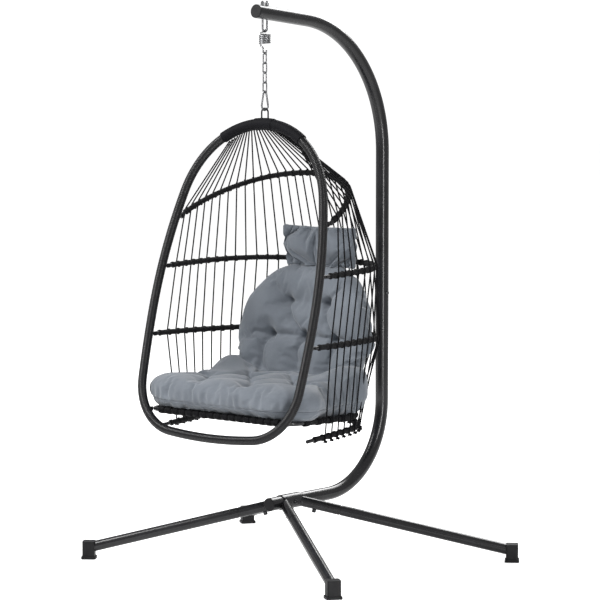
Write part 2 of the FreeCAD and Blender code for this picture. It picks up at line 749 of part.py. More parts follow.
def clip():
    """The snap clip: a bent rod with a gate that swings inward on a pin."""
    wire = size("clip_wire")
    top, bottom, small, large, sides = clip_lines()
    (gate_top, gate_bottom), (spine_top, spine_bottom) = sides
    pivot, nose = gate_ends()
    downward = (nose - pivot).normalize()
    heel = pivot + downward * size("gate_heel")
    crown = top + Vector(0, 0, small)
    belly = bottom - Vector(0, 0, large)
    path = Part.Wire([Part.LineSegment(heel, gate_top).toShape(), Part.Arc(gate_top, crown, spine_top).toShape(),
                      Part.LineSegment(spine_top, spine_bottom).toShape(),
                      Part.Arc(spine_bottom, belly, gate_bottom).toShape(),
                      Part.LineSegment(gate_bottom, nose).toShape()])
    body = wire_form(path, wire)
    tongue, gap, heel_room = size("gate_tongue"), size("tube_fit"), size("gate_heel")
    slot = Part.makeBox(tongue + 2 * gap, 4 * wire, 3 * wire)
    slot.translate(pivot + Vector(-tongue / 2 - gap, -2 * wire, heel_room - 3 * wire))
    pin_hole = Part.makeCylinder(size("gate_pin_dia") / 2 + size("gate_pin_fit"), 2 * wire, pivot - X * wire, X)
    shape_part("clip_body", body.cut(slot).cut(pin_hole), place(0, 0, 0))

    gate_radius = size("gate_dia") / 2
    start = pivot + downward * (size("gate_heel") + size("gate_notch"))
    shank = Part.makeCylinder(gate_radius, (nose - start).Length - size("gate_nose_gap"), start, downward)
    tongue_top = pivot - downward * gate_radius
    root = Part.makeCylinder(gate_radius, (start - tongue_top).Length + gate_radius, tongue_top, downward)
    plate = Part.makeBox(tongue, 4 * wire, 4 * wire, pivot - Vector(tongue / 2, 2 * wire, 2 * wire))
    gate = shank.fuse(root.common(plate)).cut(pin_hole).removeSplitter()
    shape_part("clip_gate", gate, place(0, 0, 0))
    pin_half = wire / 2 - gap
    pin = Part.makeCylinder(size("gate_pin_dia") / 2, 2 * pin_half, pivot - X * pin_half, X)
    shape_part("clip_gate_pin", pin, place(0, 0, 0))


# ---------------------------------------------------------------- basket frame

def corner_radii(half_width, depth, side_angle, back_angle, side_radius):
    """Corner and back radii that close a half U from its side to its middle."""
    side, back = math.radians(side_angle), math.radians(90 - back_angle)
    across = half_width - side_radius * (1 - math.cos(side))
    along = depth - side_radius * math.sin(side)
    a, b = math.cos(side) - math.cos(back), math.cos(back)
    c, d = math.sin(back) - math.sin(side), 1 - math.sin(back)
    determinant = a * d - b * c
    return (across * d - b * along) / determinant, (a * along - across * c) / determinant


def hoop_radii():
    """Radii of the hoop's top, shoulder, side, corner and bottom arcs."""
    top = math.radians(size("hoop_top_angle"))
    width, rise = size("hoop_half_width"), size("hoop_rise")
    shoulder_part = 1 - math.sin(top)
    determinant = math.sin(top) * math.cos(top) - shoulder_part * (1 - math.cos(top))
    top_radius = (width * math.cos(top) - shoulder_part * rise) / determinant
    shoulder = (rise * math.sin(top) - (1 - math.cos(top)) * width) / determinant
    side = math.radians(size("hoop_side_angle"))
    corner = side + math.radians(size("hoop_corner_angle"))
    bottom = size("hoop_bottom_radius")
    across = width - bottom * math.cos(corner)
    along = size("hoop_drop") - bottom * (1 - math.sin(corner))
    a, b = 1 - math.cos(side), math.cos(side) - math.cos(corner)
    c, d = math.sin(side), math.sin(corner) - math.sin(side)
    determinant = a * d - b * c
    side_radius = (across * d - b * along) / determinant
    corner_radius = (a * along - across * c) / determinant
    return top_radius, shoulder, side_radius, corner_radius, bottom


def hoop_arcs():
    """The hoop's right half from its top, as (radius, angle) pairs."""
    top, side, corner = size("hoop_top_angle"), size("hoop_side_angle"), size("hoop_corner_angle")
    angles = (top, 90 - top, side, corner, 90 - side - corner)
    return list(zip(hoop_radii(), angles))


def hoop_plane():
    """The hoop's own frame: X across, Y up along the hoop, origin at the top of its centre line."""
    return place(0, 0, size("hoop_top_height"), Rotation(X, 90 - size("hoop_lean")))


def hoop_point(height):
    """Half width and distance behind the hanging line of the hoop's centre line at a height."""
    lean = math.radians(size("hoop_lean"))
    goal = (height - size("hoop_top_height")) / math.cos(lean)
    across, along, heading = 0.0, 0.0, 0.0
    for radius, angle in hoop_arcs():
        end = heading + math.radians(angle)
        drop = radius * (math.cos(heading) - math.cos(end))
        if along - drop <= goal:
            turned = math.acos(math.cos(heading) - (along - goal) / radius)
            across += radius * (math.sin(turned) - math.sin(heading))
            return across, goal * math.sin(lean)
        across += radius * (math.sin(end) - math.sin(heading))
        along -= drop
        heading = end
    return across, along * math.sin(lean)


def hoop():
    """The steel hoop, its woven wrap, the roped crown and the hanging eye."""
    route = Route(0, 0, 0)
    arcs = hoop_arcs()
    for radius, angle in arcs + arcs[::-1]:
        route.bend(radius, -angle)
    frame = hoop_plane()
    tube = ["Sizes.hoop_tube", "Sizes.hoop_tube - 2 * Sizes.hoop_tube_wall"]
    keep(pipe_body("hoop_tube", route, tube, frame), "hoop_tube")
    wrap = ["Sizes.hoop_wrap_dia", "Sizes.hoop_tube + Sizes.tube_fit"]
    wrap_body = pipe_body("hoop_wrap", route, wrap, frame)

    top_radius = arcs[0][0]
    crown = crown_arc("crown_wrap", size("crown_half_span"), top_radius,
                      ["Sizes.crown_dia", "Sizes.hoop_wrap_dia + Sizes.tube_fit"], frame)
    pad = crown_arc("crown_pad", size("crown_pad_half_span"), top_radius,
                    ["Sizes.crown_pad_dia", "Sizes.hoop_wrap_dia + Sizes.tube_fit"], frame)
    crown_blank = fused("crown_blank", [crown, pad])
    leg_side = (size("eye_width") - size("eye_wire")) / 2
    wrap_holes, crown_holes = [], []
    for side in (-1, 1):
        for name, holes in (("wrap", wrap_holes), ("crown", crown_holes)):
            holes.append(rod("eye_hole_%s" % name, "Sizes.eye_wire / 2 + Sizes.tube_fit", "2 * Sizes.crown_dia",
                             place(side * leg_side, 0, size("hoop_top_height"))))
    keep(cut_from("hoop_wrap", wrap_body, wrap_holes), "hoop_wrap")
    keep(cut_from("crown_wrap", crown_blank, crown_holes), "crown_wrap")

    eye_top = clip_bottom_height() + (size("clip_wire") + size("eye_wire")) / 2 + size("link_gap")
    floor = size("hoop_top_height") + size("hoop_tube") / 2 + size("tube_fit")
    straight = eye_top - floor - leg_side
    eye = Route(-leg_side, floor, 90).run(straight).bend(leg_side, -180).run(straight)
    keep(pipe_body("hanging_eye", eye, ["Sizes.eye_wire"], place(0, 0, 0, Rotation(X, 90))), "hanging_eye")


def crown_arc(label, half_span, radius, diameters, frame):
    """A stretch of wrap centred on the hoop's top."""
    half_angle = math.degrees(math.asin(half_span / radius))
    start_height = -radius * (1 - math.cos(math.radians(half_angle)))
    route = Route(-half_span, start_height, half_angle).bend(radius, -2 * half_angle)
    return pipe_body(label, route, diameters, frame)


class Rib:
    """One U-shaped rib: its plane, its outline from one end to the other and its cords."""

    def __init__(self, name, half_width, end_behind, setback):
        self.name = name
        self.half_width = half_width
        self.setback = setback
        self.plane = place(0, end_behind, size(name + "_rib_height"), Rotation(X, size(name + "_rib_slope")))
        side, back = size(name + "_rib_side_angle"), size(name + "_rib_back_angle")
        side_radius = size(name + "_rib_side_radius")
        depth = size(name + "_rib_depth") - setback
        corner, middle = corner_radii(half_width, depth, side, back, side_radius)
        turn = 90 - side - back
        self.arcs = [(side_radius, side), (corner, turn), (middle, 2 * back), (corner, turn), (side_radius, side)]

    def route(self, trim=0.0):
        """The rib's centre line, shortened by the same length at both ends."""
        side_radius, side = self.arcs[0]
        start = Route(-self.half_width, self.setback, 90)
        skipped = math.degrees(trim / side_radius)
        if trim:
            start.bend(side_radius, -skipped)
        route = Route(start.here.x, start.here.y, start.heading)
        route.bend(side_radius, skipped - side)
        for radius, angle in self.arcs[1:-1]:
            route.bend(radius, -angle)
        return route.bend(side_radius, skipped - side)

    def crossings(self):
        """Where each cord crosses the rib: the point on its centre line and the line's direction."""
        wire = self.route().wire()
        first = size(self.name + "_rib_first_cord")
        count = int(size("cord_count"))
        step = (wire.Length - 2 * first) / (count - 1)
        found = []
        for index in range(count):
            point, tangent = point_along(wire, first + index * step)
            found.append((self.plane.multVec(point), self.plane.Rotation.multVec(tangent)))
        return found

    def build(self):
        """The rib's tube and its rope wrap."""
        tube = pipe_body(self.name + "_rib_tube", self.route(),
                         ["Sizes.rib_tube", "Sizes.rib_tube - 2 * Sizes.rib_tube_wall"], self.plane)
        wrap = pipe_body(self.name + "_rib_wrap", self.route(size("rib_bare_end")),
                         ["Sizes.rib_wrap_dia", "Sizes.rib_tube + Sizes.tube_fit"], self.plane)
        keep(wrap, self.name + "_rib_wrap")
        return tube


def point_along(wire, distance):
    """The point and unit tangent at a distance along a wire made of edges in order."""
    for edge in wire.OrderedEdges:
        if distance <= edge.Length:
            parameter = edge.getParameterByLength(distance)
            return edge.valueAt(parameter), edge.tangentAt(parameter)
        distance -= edge.Length
    return edge.valueAt(edge.LastParameter), edge.tangentAt(edge.LastParameter)


def clear_of_hoop(slope, half_height, gap, aside=0.0):
    """How far behind the hoop's centre line a bar on a sloping plane must start to clear its rope."""
    crossing = math.radians(90 - size("hoop_lean") - slope)
    straight_behind = math.sqrt((size("hoop_wrap_dia") / 2 + gap) ** 2 - aside ** 2)
    return (straight_behind + half_height * math.cos(crossing)) / math.sin(crossing)


def lugs_and_rivets(plane, slope, half_width, hole_at):
    """A flat lug from the hoop to each end of a tube, the rivet through both and the drill for its hole."""
    lugs, rivets, holes = [], [], []
    thick, width = size("lug_thickness"), size("lug_width")
    gap, head_height = size("tube_fit"), size("rivet_head_height")
    tube_radius = size("rib_tube") / 2
    face = half_width - tube_radius - size("lug_gap") - thick
    near, far = face - gap, half_width + tube_radius + gap
    start = clear_of_hoop(slope, width / 2, size("link_gap"), tube_radius * 2 / 3)
    for side in (-1, 1):
        plate = Part.makeBox(thick, hole_at - start, width, Vector(face, start, -width / 2))
        tip = Part.makeCylinder(width / 2, thick, Vector(face, hole_at, 0), X)
        reach = 3 * tube_radius + thick
        hole = Part.makeCylinder(size("rivet_dia") / 2 + gap, 2 * reach, Vector(half_width - reach, hole_at, 0), X)
        lug = plate.fuse(tip).cut(hole).removeSplitter()
        rivet = Part.makeCylinder(size("rivet_dia") / 2, far - near, Vector(near, hole_at, 0), X)
        for foot in (near - head_height, far):
            rivet = rivet.fuse(Part.makeCylinder(size("rivet_head_dia") / 2, head_height,
                                                 Vector(foot, hole_at, 0), X))
        rivet = rivet.removeSplitter()
        for solid, group in ((lug, lugs), (rivet, rivets), (hole, holes)):
            if side < 0:
                solid = solid.mirror(Vector(), X)
            group.append(solid.transformed(plane.toMatrix()))
    return lugs, rivets, holes


def ribs():
    """The four ribs, the lugs and rivets that hang three of them on the hoop, and the free one's plugs."""
    all_lugs, all_rivets, crossings = [], [], []
    bore = (size("rib_tube") / 2) - size("rib_tube_wall") - size("tube_fit")
    for name in ("upper", "middle", "lower", "bottom"):
        if name == "bottom":
            rib = Rib(name, size("bottom_rib_half_width"), -size("bottom_rib_end_ahead"), 0.0)
            keep(rib.build(), "bottom_rib_tube")
            plugs = []
            for side in (-1, 1):
                rim, gap = size("plug_rim_height"), size("tube_fit")
                plug = Part.makeCylinder(bore, size("plug_length") + gap, Vector(0, 0, -gap))
                plug = plug.fuse(Part.makeCylinder(size("rib_tube") / 2, rim, Vector(0, 0, -gap - rim)))
                plug = plug.removeSplitter()
                plug.Placement = rib.plane.multiply(Placement(Vector(side * rib.half_width, 0, 0), Rotation(X, -90)))
                plugs.append(plug)
            shape_part("bottom_rib_plugs", Part.makeCompound(plugs))
        else:
            half_width, behind = hoop_point(size(name + "_rib_height"))
            slope = size(name + "_rib_slope")
            setback = clear_of_hoop(slope, size("rib_tube") / 2, size("rib_end_gap"))
            rib = Rib(name, half_width, behind, setback)
            lugs, rivets, holes = lugs_and_rivets(rib.plane, slope, half_width, setback + size("lug_hole_in"))
            tube = rib.build()
            drills = shape_tool("rib_holes_" + name, Part.makeCompound(holes))
            keep(cut_from(name + "_rib_tube", tube, [drills]), name + "_rib_tube")
            all_lugs += lugs
            all_rivets += rivets
        crossings.append(rib.crossings())
    return crossings, all_lugs, all_rivets


def shape_tool(label, shape):
    """A shape used only to cut or join other objects."""
    tool = DOC.addObject("Part::Feature", label)
    tool.Shape = shape
    return tool


def seat_route(trim_front):
    """The seat ring's centre line: the U behind the hoop, or the closed ring with its front bar."""
    half, corner = size("seat_half_width"), size("seat_front_corner")
    side, back, radius = size("seat_side_angle"), size("seat_back_angle"), size("seat_side_radius")
    front = size("seat_setback")
    depth = size("seat_depth") - front - corner
    rear_corner, rear = corner_radii(half, depth, side, back, radius)
    turn = 90 - side - back
    u_arcs = [(radius, side), (rear_corner, turn), (rear, 2 * back), (rear_corner, turn), (radius, side)]
    if trim_front:
        skipped = math.degrees(trim_front / radius)
        start = Route(-half, front + corner, 90).bend(radius, -skipped)
        route = Route(start.here.x, start.here.y, start.heading)
        u_arcs[0] = u_arcs[-1] = (radius, side - skipped)
    else:
        route = Route(0, front, 180)
        route.run(half - corner).bend(corner, -90)
    for arc_radius, angle in u_arcs:
        route.bend(arc_radius, -angle)
    if not trim_front:
        route.bend(corner, -90).run(half - corner)
    return route


def seat_frame():
    """The seat ring, its rope wraps and its straps. Returns the ring's plane."""
    _, behind = hoop_point(size("seat_height"))
    plane = place(0, behind, size("seat_height"), Rotation(X, size("seat_slope")))
    ring_route = seat_route(0)
    tube = ["Sizes.seat_tube", "Sizes.seat_tube - 2 * Sizes.seat_tube_wall"]
    wrap = ["Sizes.seat_wrap_dia", "Sizes.seat_tube + Sizes.tube_fit"]
    keep(pipe_body("seat_frame", ring_route, tube, plane), "seat_frame")
    keep(pipe_body("seat_frame_wrap", seat_route(size("seat_wrap_start")), wrap, plane), "seat_frame_wrap")
    bar_half = size("seat_half_width") - size("seat_front_corner") - size("front_wrap_margin")
    bar = Route(-bar_half, size("seat_setback"), 0).run(2 * bar_half)
    keep(pipe_body("seat_front_wrap", bar, wrap, plane), "seat_front_wrap")
    seat_straps(ring_route, plane)
    return plane


def seat_tabs(plane):
    """The short welded tabs between the hoop and the seat ring's front corners."""
    thick, width = size("lug_thickness"), size("lug_width")
    hoop_half = hoop_point(size("seat_height"))[0]
    corner = size("seat_front_corner")
    across = hoop_half - thick / 2 - (size("seat_half_width") - corner)
    ring_outside = corner + size("seat_tube") / 2 + size("link_gap")
    end = size("seat_setback") + corner - math.sqrt(ring_outside ** 2 - across ** 2)
    start = clear_of_hoop(size("seat_slope"), width / 2, size("link_gap")) - size("seat_tab_bed")
    tabs = []
    for side in (-1, 1):
        tab = Part.makeBox(thick, end - start, width, Vector(side * hoop_half - thick / 2, start, -width / 2))
        tabs.append(tab.transformed(plane.toMatrix()))
    return tabs


def seat_straps(ring_route, plane):
    """Flat straps that cross inside the seat ring, the long ones above the cross ones."""
    outline = Part.Face(ring_route.wire())
    inside = outline.makeOffset2D(-size("seat_wrap_dia") / 2 - size("tube_fit"))
    width, thick = size("strap_width"), size("strap_thickness")
    box = inside.BoundBox
    straps = []
    for level, (low, high, along) in enumerate(((box.YMin, box.YMax, "X"), (box.XMin, box.XMax, "Y"))):
        count = int((high - low) // (2 * width))
        pitch = (high - low) / count
        for index in range(count):
            middle = low + pitch * (index + 0.5)
            if along == "X":
                strip = Part.makeBox(box.XLength + 2, width, thick, Vector(box.XMin - 1, middle - width / 2, 0))
            else:
                strip = Part.makeBox(width, box.YLength + 2, thick, Vector(middle - width / 2, box.YMin - 1, 0))
            window = inside.extrude(Vector(0, 0, thick))
            strap = strip.common(window)
            strap.translate(Vector(0, 0, level * (thick + 0.2)))
            straps.append(strap.Solids[0])
    group = Part.makeCompound(straps)
    group.Placement = plane
    shape_part("seat_straps", group)


def cord_start(index):
    """A cord's place on the crown: the crown's middle there, its direction and its radius."""
    count = int(size("cord_count"))
    across = size("crown_cord_half_span") * (2 * index / (count - 1) - 1)
    top_radius = hoop_radii()[0]
    angle = math.asin(across / top_radius)
    frame = hoop_plane()
    middle = frame.multVec(Vector(across, top_radius * (math.cos(angle) - 1), 0))
    tangent = frame.Rotation.multVec(Vector(math.cos(angle), -math.sin(angle), 0))
    on_pad = abs(across) < size("crown_pad_half_span") + size("cord_dia")
    return middle, tangent, size("crown_pad_dia" if on_pad else "crown_dia") / 2


def cord_route(index, crossings):
    """One cord's corners: from the crown, bent round the outside of each rib, to its tail."""
    middle, tangent, radius = cord_start(index)
    reach = (size("rib_wrap_dia") + size("cord_dia")) / 2 + size("tube_fit")
    corners = [point for point, _ in crossings]
    away = corners[0] - middle
    fan = abs(away.normalize().dot(tangent))
    toward = (away - tangent * away.dot(tangent)).normalize()
    start = middle + toward * (radius + size("tube_fit") + fan * size("cord_dia") / 2)
    tail = corners[-1] - Z * size("cord_tail")
    for _ in range(5):
        line = [start] + corners + [tail]
        corners = []
        for number, (point, direction) in enumerate(crossings, start=1):
            arrive = (line[number] - line[number - 1]).normalize()
            leave = (line[number + 1] - line[number]).normalize()
            outward = direction.cross(arrive + leave).normalize()
            corners.append(point + outward * reach / math.cos(arrive.getAngle(leave) / 2))
        tail = corners[-1] - Z * size("cord_tail")
    return [start] + corners + [tail]


def cords(rows):
    """The tight cords, each from the crown over the four ribs."""
    reach = (size("rib_wrap_dia") + size("cord_dia")) / 2 + size("tube_fit")
    solids = []
    for index in range(int(size("cord_count"))):
        corners = cord_route(index, [row[index] for row in rows])
        solids.append(wire_form(rounded_wire(corners, reach), size("cord_dia")))
    shape_part("net_cords", Part.makeCompound(solids))


# ---------------------------------------------------------------- soft parts

def soft_outline(width, depth, corner):
    """A rounded pad outline, centred across and starting at zero depth."""
    route = Route(-width / 2 + corner, 0, 0)
    for length in (width, depth, width, depth):
        route.run(length - 2 * corner).bend(corner, 90)
    return route


def back_pad_plan():
    """The back pad seen from above: a band between two arcs, its rear middle on the origin."""
    radius, thick = size("back_pad_radius"), size("back_pad_thickness")
    half = math.degrees(math.asin(size("back_pad_width") / 2 / radius))
    edge = size("back_pad_width") / 2
    plan = Route(-edge, radius * (math.cos(math.radians(half)) - 1), half)
    plan.bend(radius, -2 * half).turn(-90).run(thick).turn(-90).bend(radius - thick, 2 * half)
    return plan.turn(-90).run(thick)


def cushion(plane):
    """The one-piece cushion: a seat pad joined to a curved back pad. Returns the back pad's frame."""
    lift = size("seat_wrap_dia") / 2 + size("soft_gap")
    ring_behind = plane.Base.y + size("hang_line_ahead")
    seat = plane.multiply(Placement(Vector(0, size("seat_pad_front") - ring_behind, lift), Rotation()))
    seat_pad = padded_body("seat_pad", soft_outline(size("seat_pad_width"), size("seat_pad_depth"),
                                                    size("seat_pad_corner")),
                           "Sizes.seat_pad_thickness", seat, "Sizes.seat_pad_round")
    base = seat.Base.z + size("seat_pad_thickness") - size("back_pad_sunk")
    back_place = place(0, size("back_pad_behind"), base, Rotation(X, -size("back_pad_lean")))
    slab = padded_body("back_slab", back_pad_plan(), "Sizes.back_pad_height", back_place)
    face = soft_outline(size("back_pad_width"), size("back_pad_height"), size("back_pad_corner"))
    front = back_place.multiply(Placement(Vector(0, size("soft_gap"), 0), Rotation(X, 90)))
    mask = padded_body("back_mask", face, "3 * Sizes.back_pad_thickness", front)
    back_pad = DOC.addObject("Part::Common", "back_pad")
    back_pad.Base = slab
    back_pad.Tool = mask
    DOC.recompute()
    keep(fused("seat_cushion", [seat_pad, back_pad]), "seat_cushion")
    return back_place


def pillow(back_place):
    """The small head pillow that sits on top of the back pad and leans as it does."""
    behind = size("pillow_thickness") - size("back_pad_thickness") + size("pillow_set_back")
    frame = back_place.multiply(Placement(Vector(0, behind, size("back_pad_height") + size("soft_gap")),
                                          Rotation(X, 90)))
    outline = soft_outline(size("pillow_width"), size("pillow_height"), size("pillow_round"))
    body = padded_body("head_pillow", outline, "Sizes.pillow_thickness", frame, "Sizes.pillow_round - 1")
    keep(body, "head_pillow")


def main():
    """Build every sub-part, check it and write it to its own file."""
    mast_tubes()
    end_caps()
    base_hub_and_legs()
    u_bolt()
    spring()
    chain()
    clip()
    hoop()
    rows, lugs, rivets = ribs()
    plane = seat_frame()
    shape_part("frame_lugs", Part.makeCompound(lugs + seat_tabs(plane)))
    shape_part("rib_rivets", Part.makeCompound(rivets))
    cords(rows)
    back_place = cushion(plane)
    pillow(back_place)
    DOC.recompute()
    check_document()
    write_parts()


def check_document():
    """Stop if any object failed or any sub-part's shape is missing or broken."""
    for item in DOC.Objects:
        if "Invalid" in item.State or "Error" in item.State:
            raise RuntimeError("%s failed to compute" % item.Label)
    for item in SUB_PARTS:
        if item.Shape.isNull() or not item.Shape.isValid():
            raise RuntimeError("%s has no valid shape" % item.Label)


def write_parts():
    """Write each sub-part to parts/NODE.step."""
    os.makedirs("parts", exist_ok=True)
    for item in SUB_PARTS:
        item.Shape.exportStep("parts/%s.step" % item.Label)
        box = item.Shape.BoundBox
        print("%-20s solids %2d volume %9.0f x %7.1f %7.1f y %7.1f %7.1f z %7.1f %7.1f" % (
            item.Label, len(item.Shape.Solids), item.Shape.Volume,
            box.XMin, box.XMax, box.YMin, box.YMax, box.ZMin, box.ZMax))


main()
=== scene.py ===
"""The hanging egg chair, dressed.

The stand, the spring and the chain keep their solid parts and get their finishes here. The wound hoop,
the roped ribs, the twisted cords, the seat straps and the soft cushions are modelled here, over the
steel that carries them. Lengths are in metres and angles in degrees, in the frame of the solid parts.
"""

import logging
import math
from collections.abc import Iterable, Sequence
from dataclasses import dataclass, field
from enum import Enum

import bmesh
import bpy
from mathutils import Matrix, Vector, noise
from mathutils.bvhtree import BVHTree


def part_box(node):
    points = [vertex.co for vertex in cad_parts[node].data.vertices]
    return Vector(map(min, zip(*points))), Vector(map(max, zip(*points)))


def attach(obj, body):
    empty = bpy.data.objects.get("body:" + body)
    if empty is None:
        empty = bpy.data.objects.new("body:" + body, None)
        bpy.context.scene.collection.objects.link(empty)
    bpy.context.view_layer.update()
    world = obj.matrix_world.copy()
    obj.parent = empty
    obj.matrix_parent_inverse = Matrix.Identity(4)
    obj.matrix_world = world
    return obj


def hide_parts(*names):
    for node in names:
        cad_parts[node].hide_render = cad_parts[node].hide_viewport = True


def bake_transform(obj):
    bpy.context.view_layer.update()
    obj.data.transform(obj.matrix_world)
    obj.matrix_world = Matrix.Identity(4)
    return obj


LOG = logging.getLogger("egg_chair")
HANG_LINE = Vector((0.0, -0.1686, 0.0))
UP = Vector((0.0, 0.0, 1.0))
DOWN = Vector((0.0, 0.0, -1.0))
BACKWARDS = Vector((0.0, 1.0, 0.0))
FULL_TURN = 2.0 * math.pi
LOOP_STEPS = 14
LOOP_SPACING = 0.95
CLOUD_RANGE = (0.3, 0.7)
PULL_REACH = 3.0
PULL_FACING = 0.1
SEAM_TOLERANCE = 1e-6

Socket = bpy.types.NodeSocket
Colour = tuple[float, float, float]
Pair = tuple[float, float]

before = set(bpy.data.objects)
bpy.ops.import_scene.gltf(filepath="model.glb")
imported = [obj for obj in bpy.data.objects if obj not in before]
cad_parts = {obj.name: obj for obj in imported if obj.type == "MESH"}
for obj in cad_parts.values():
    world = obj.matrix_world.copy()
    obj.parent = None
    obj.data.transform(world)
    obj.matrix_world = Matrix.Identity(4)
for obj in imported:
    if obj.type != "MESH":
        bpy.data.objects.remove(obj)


# ---------------------------------------------------------------- guide lines


@dataclass(frozen=True)
class Station:
    """A place on a guide line: its point and three unit directions."""

    point: Vector
    along: Vector
    side: Vector
    up: Vector

    def around(self, angle: float, radius: float) -> Vector:
        """A point beside the line, at an angle in radians round it and a distance from it."""
        return self.point + self.side * (math.cos(angle) * radius) + self.up * (math.sin(angle) * radius)


class Guide:
    """A guide line of straight runs and arcs in one plane."""

    def __init__(self, plane: Matrix, start: tuple[float, float], heading: float) -> None:
        """Starts the line.

        Args:
            plane: the plane's frame, with the line in its XY plane.
            start: the first point in the plane.
            heading: the first direction, in degrees from the plane's X axis.
        """
        self.plane = plane
        self.length = 0.0
        self._here = Vector(start)
        self._heading = math.radians(heading)
        self._pieces: list[tuple[float, Vector, float, float]] = []

    @staticmethod
    def _walk(start: Vector, heading: float, curvature: float, distance: float) -> tuple[Vector, float]:
        """The point and heading after a distance along one piece.

        Args:
            start: the piece's first point.
            heading: its first direction, in radians.
            curvature: one over its radius, or 0 for a straight run.
            distance: how far along it the point is.

        Returns:
            The point and the direction there.
        """
        if not curvature:
            return start + Vector((math.cos(heading), math.sin(heading))) * distance, heading
        turned = heading + curvature * distance
        across = math.sin(turned) - math.sin(heading)
        onward = math.cos(heading) - math.cos(turned)
        return start + Vector((across, onward)) / curvature, turned

    def _add(self, length: float, curvature: float) -> "Guide":
        """Adds one piece and moves to its end.

        Args:
            length: the piece's length.
            curvature: one over its radius, or 0 for a straight run.

        Returns:
            The guide itself, so that pieces can follow one another.
        """
        self._pieces.append((length, self._here.copy(), self._heading, curvature))
        self._here, self._heading = self._walk(self._here, self._heading, curvature, length)
        self.length += length
        return self

    def run(self, length: float) -> "Guide":
        """Adds a straight run."""
        return self._add(length, 0.0)

    def bend(self, radius: float, angle: float) -> "Guide":
        """Adds an arc that turns by an angle, to the right where it is negative."""
        turn = math.radians(angle)
        return self._add(radius * abs(turn), math.copysign(1.0 / radius, turn))

    def at(self, distance: float) -> Station:
        """The station at a distance along the line.

        Args:
            distance: the length from the line's start.

        Returns:
            The station there.
        """
        left = distance
        for number, (length, start, heading, curvature) in enumerate(self._pieces):
            if left <= length or number == len(self._pieces) - 1:
                break
            left -= length
        here, turned = self._walk(start, heading, curvature, left)
        turn = self.plane.to_3x3()
        along = turn @ Vector((math.cos(turned), math.sin(turned), 0.0))
        side = turn @ Vector((-math.sin(turned), math.cos(turned), 0.0))
        return Station(self.plane @ here.to_3d(), along, side, turn @ UP)


def sloping_plane(behind: float, height: float, slope: float) -> Matrix:
    """A plane that rises backwards.

    Args:
        behind: how far its origin is behind the hanging line.
        height: the origin's height.
        slope: its rise towards the back, in degrees.

    Returns:
        The plane's frame.
    """
    origin = HANG_LINE + Vector((0.0, behind, height))
    return Matrix.Translation(origin) @ Matrix.Rotation(math.radians(slope), 4, "X")


def corner_radii(half_width: float, depth: float, side: float, back: float,
                 side_radius: float) -> tuple[float, float]:
    """The corner and back radii that close a half U from its side to its middle.

    Args:
        half_width: half the U's width.
        depth: its depth.
        side: the angle that each side arc turns, in degrees.
        back: the angle that each half of the back arc turns, in degrees.
        side_radius: the side arcs' radius.

    Returns:
        The corner radius and the back radius.
    """
    start, end = math.radians(side), math.radians(90.0 - back)
    across = half_width - side_radius * (1.0 - math.cos(start))
    along = depth - side_radius * math.sin(start)
    corner_across, back_across = math.cos(start) - math.cos(end), math.cos(end)
    corner_along, back_along = math.sin(end) - math.sin(start), 1.0 - math.sin(end)
    area = corner_across * back_along - back_across * corner_along
    corner = (across * back_along - back_across * along) / area
    return corner, (corner_across * along - across * corner_along) / area


def carried_stations(points: Sequence[Vector]) -> list[Station]:
    """Stations along a line in space, each turned as little as possible from the one before.

    Args:
        points: the line's points.

    Returns:
        One station for each point.
    """
    stations: list[Station] = []
    side = Vector()
    for index, point in enumerate(points):
        before, after = points[max(index - 1, 0)], points[min(index + 1, len(points) - 1)]
        along = (after - before).normalized()
        if index == 0:
            side = along.orthogonal().normalized()
        side = (side - along * side.dot(along)).normalized()
        stations.append(Station(point.copy(), along, side.copy(), along.cross(side)))
    return stations


# ---------------------------------------------------------------- mesh making


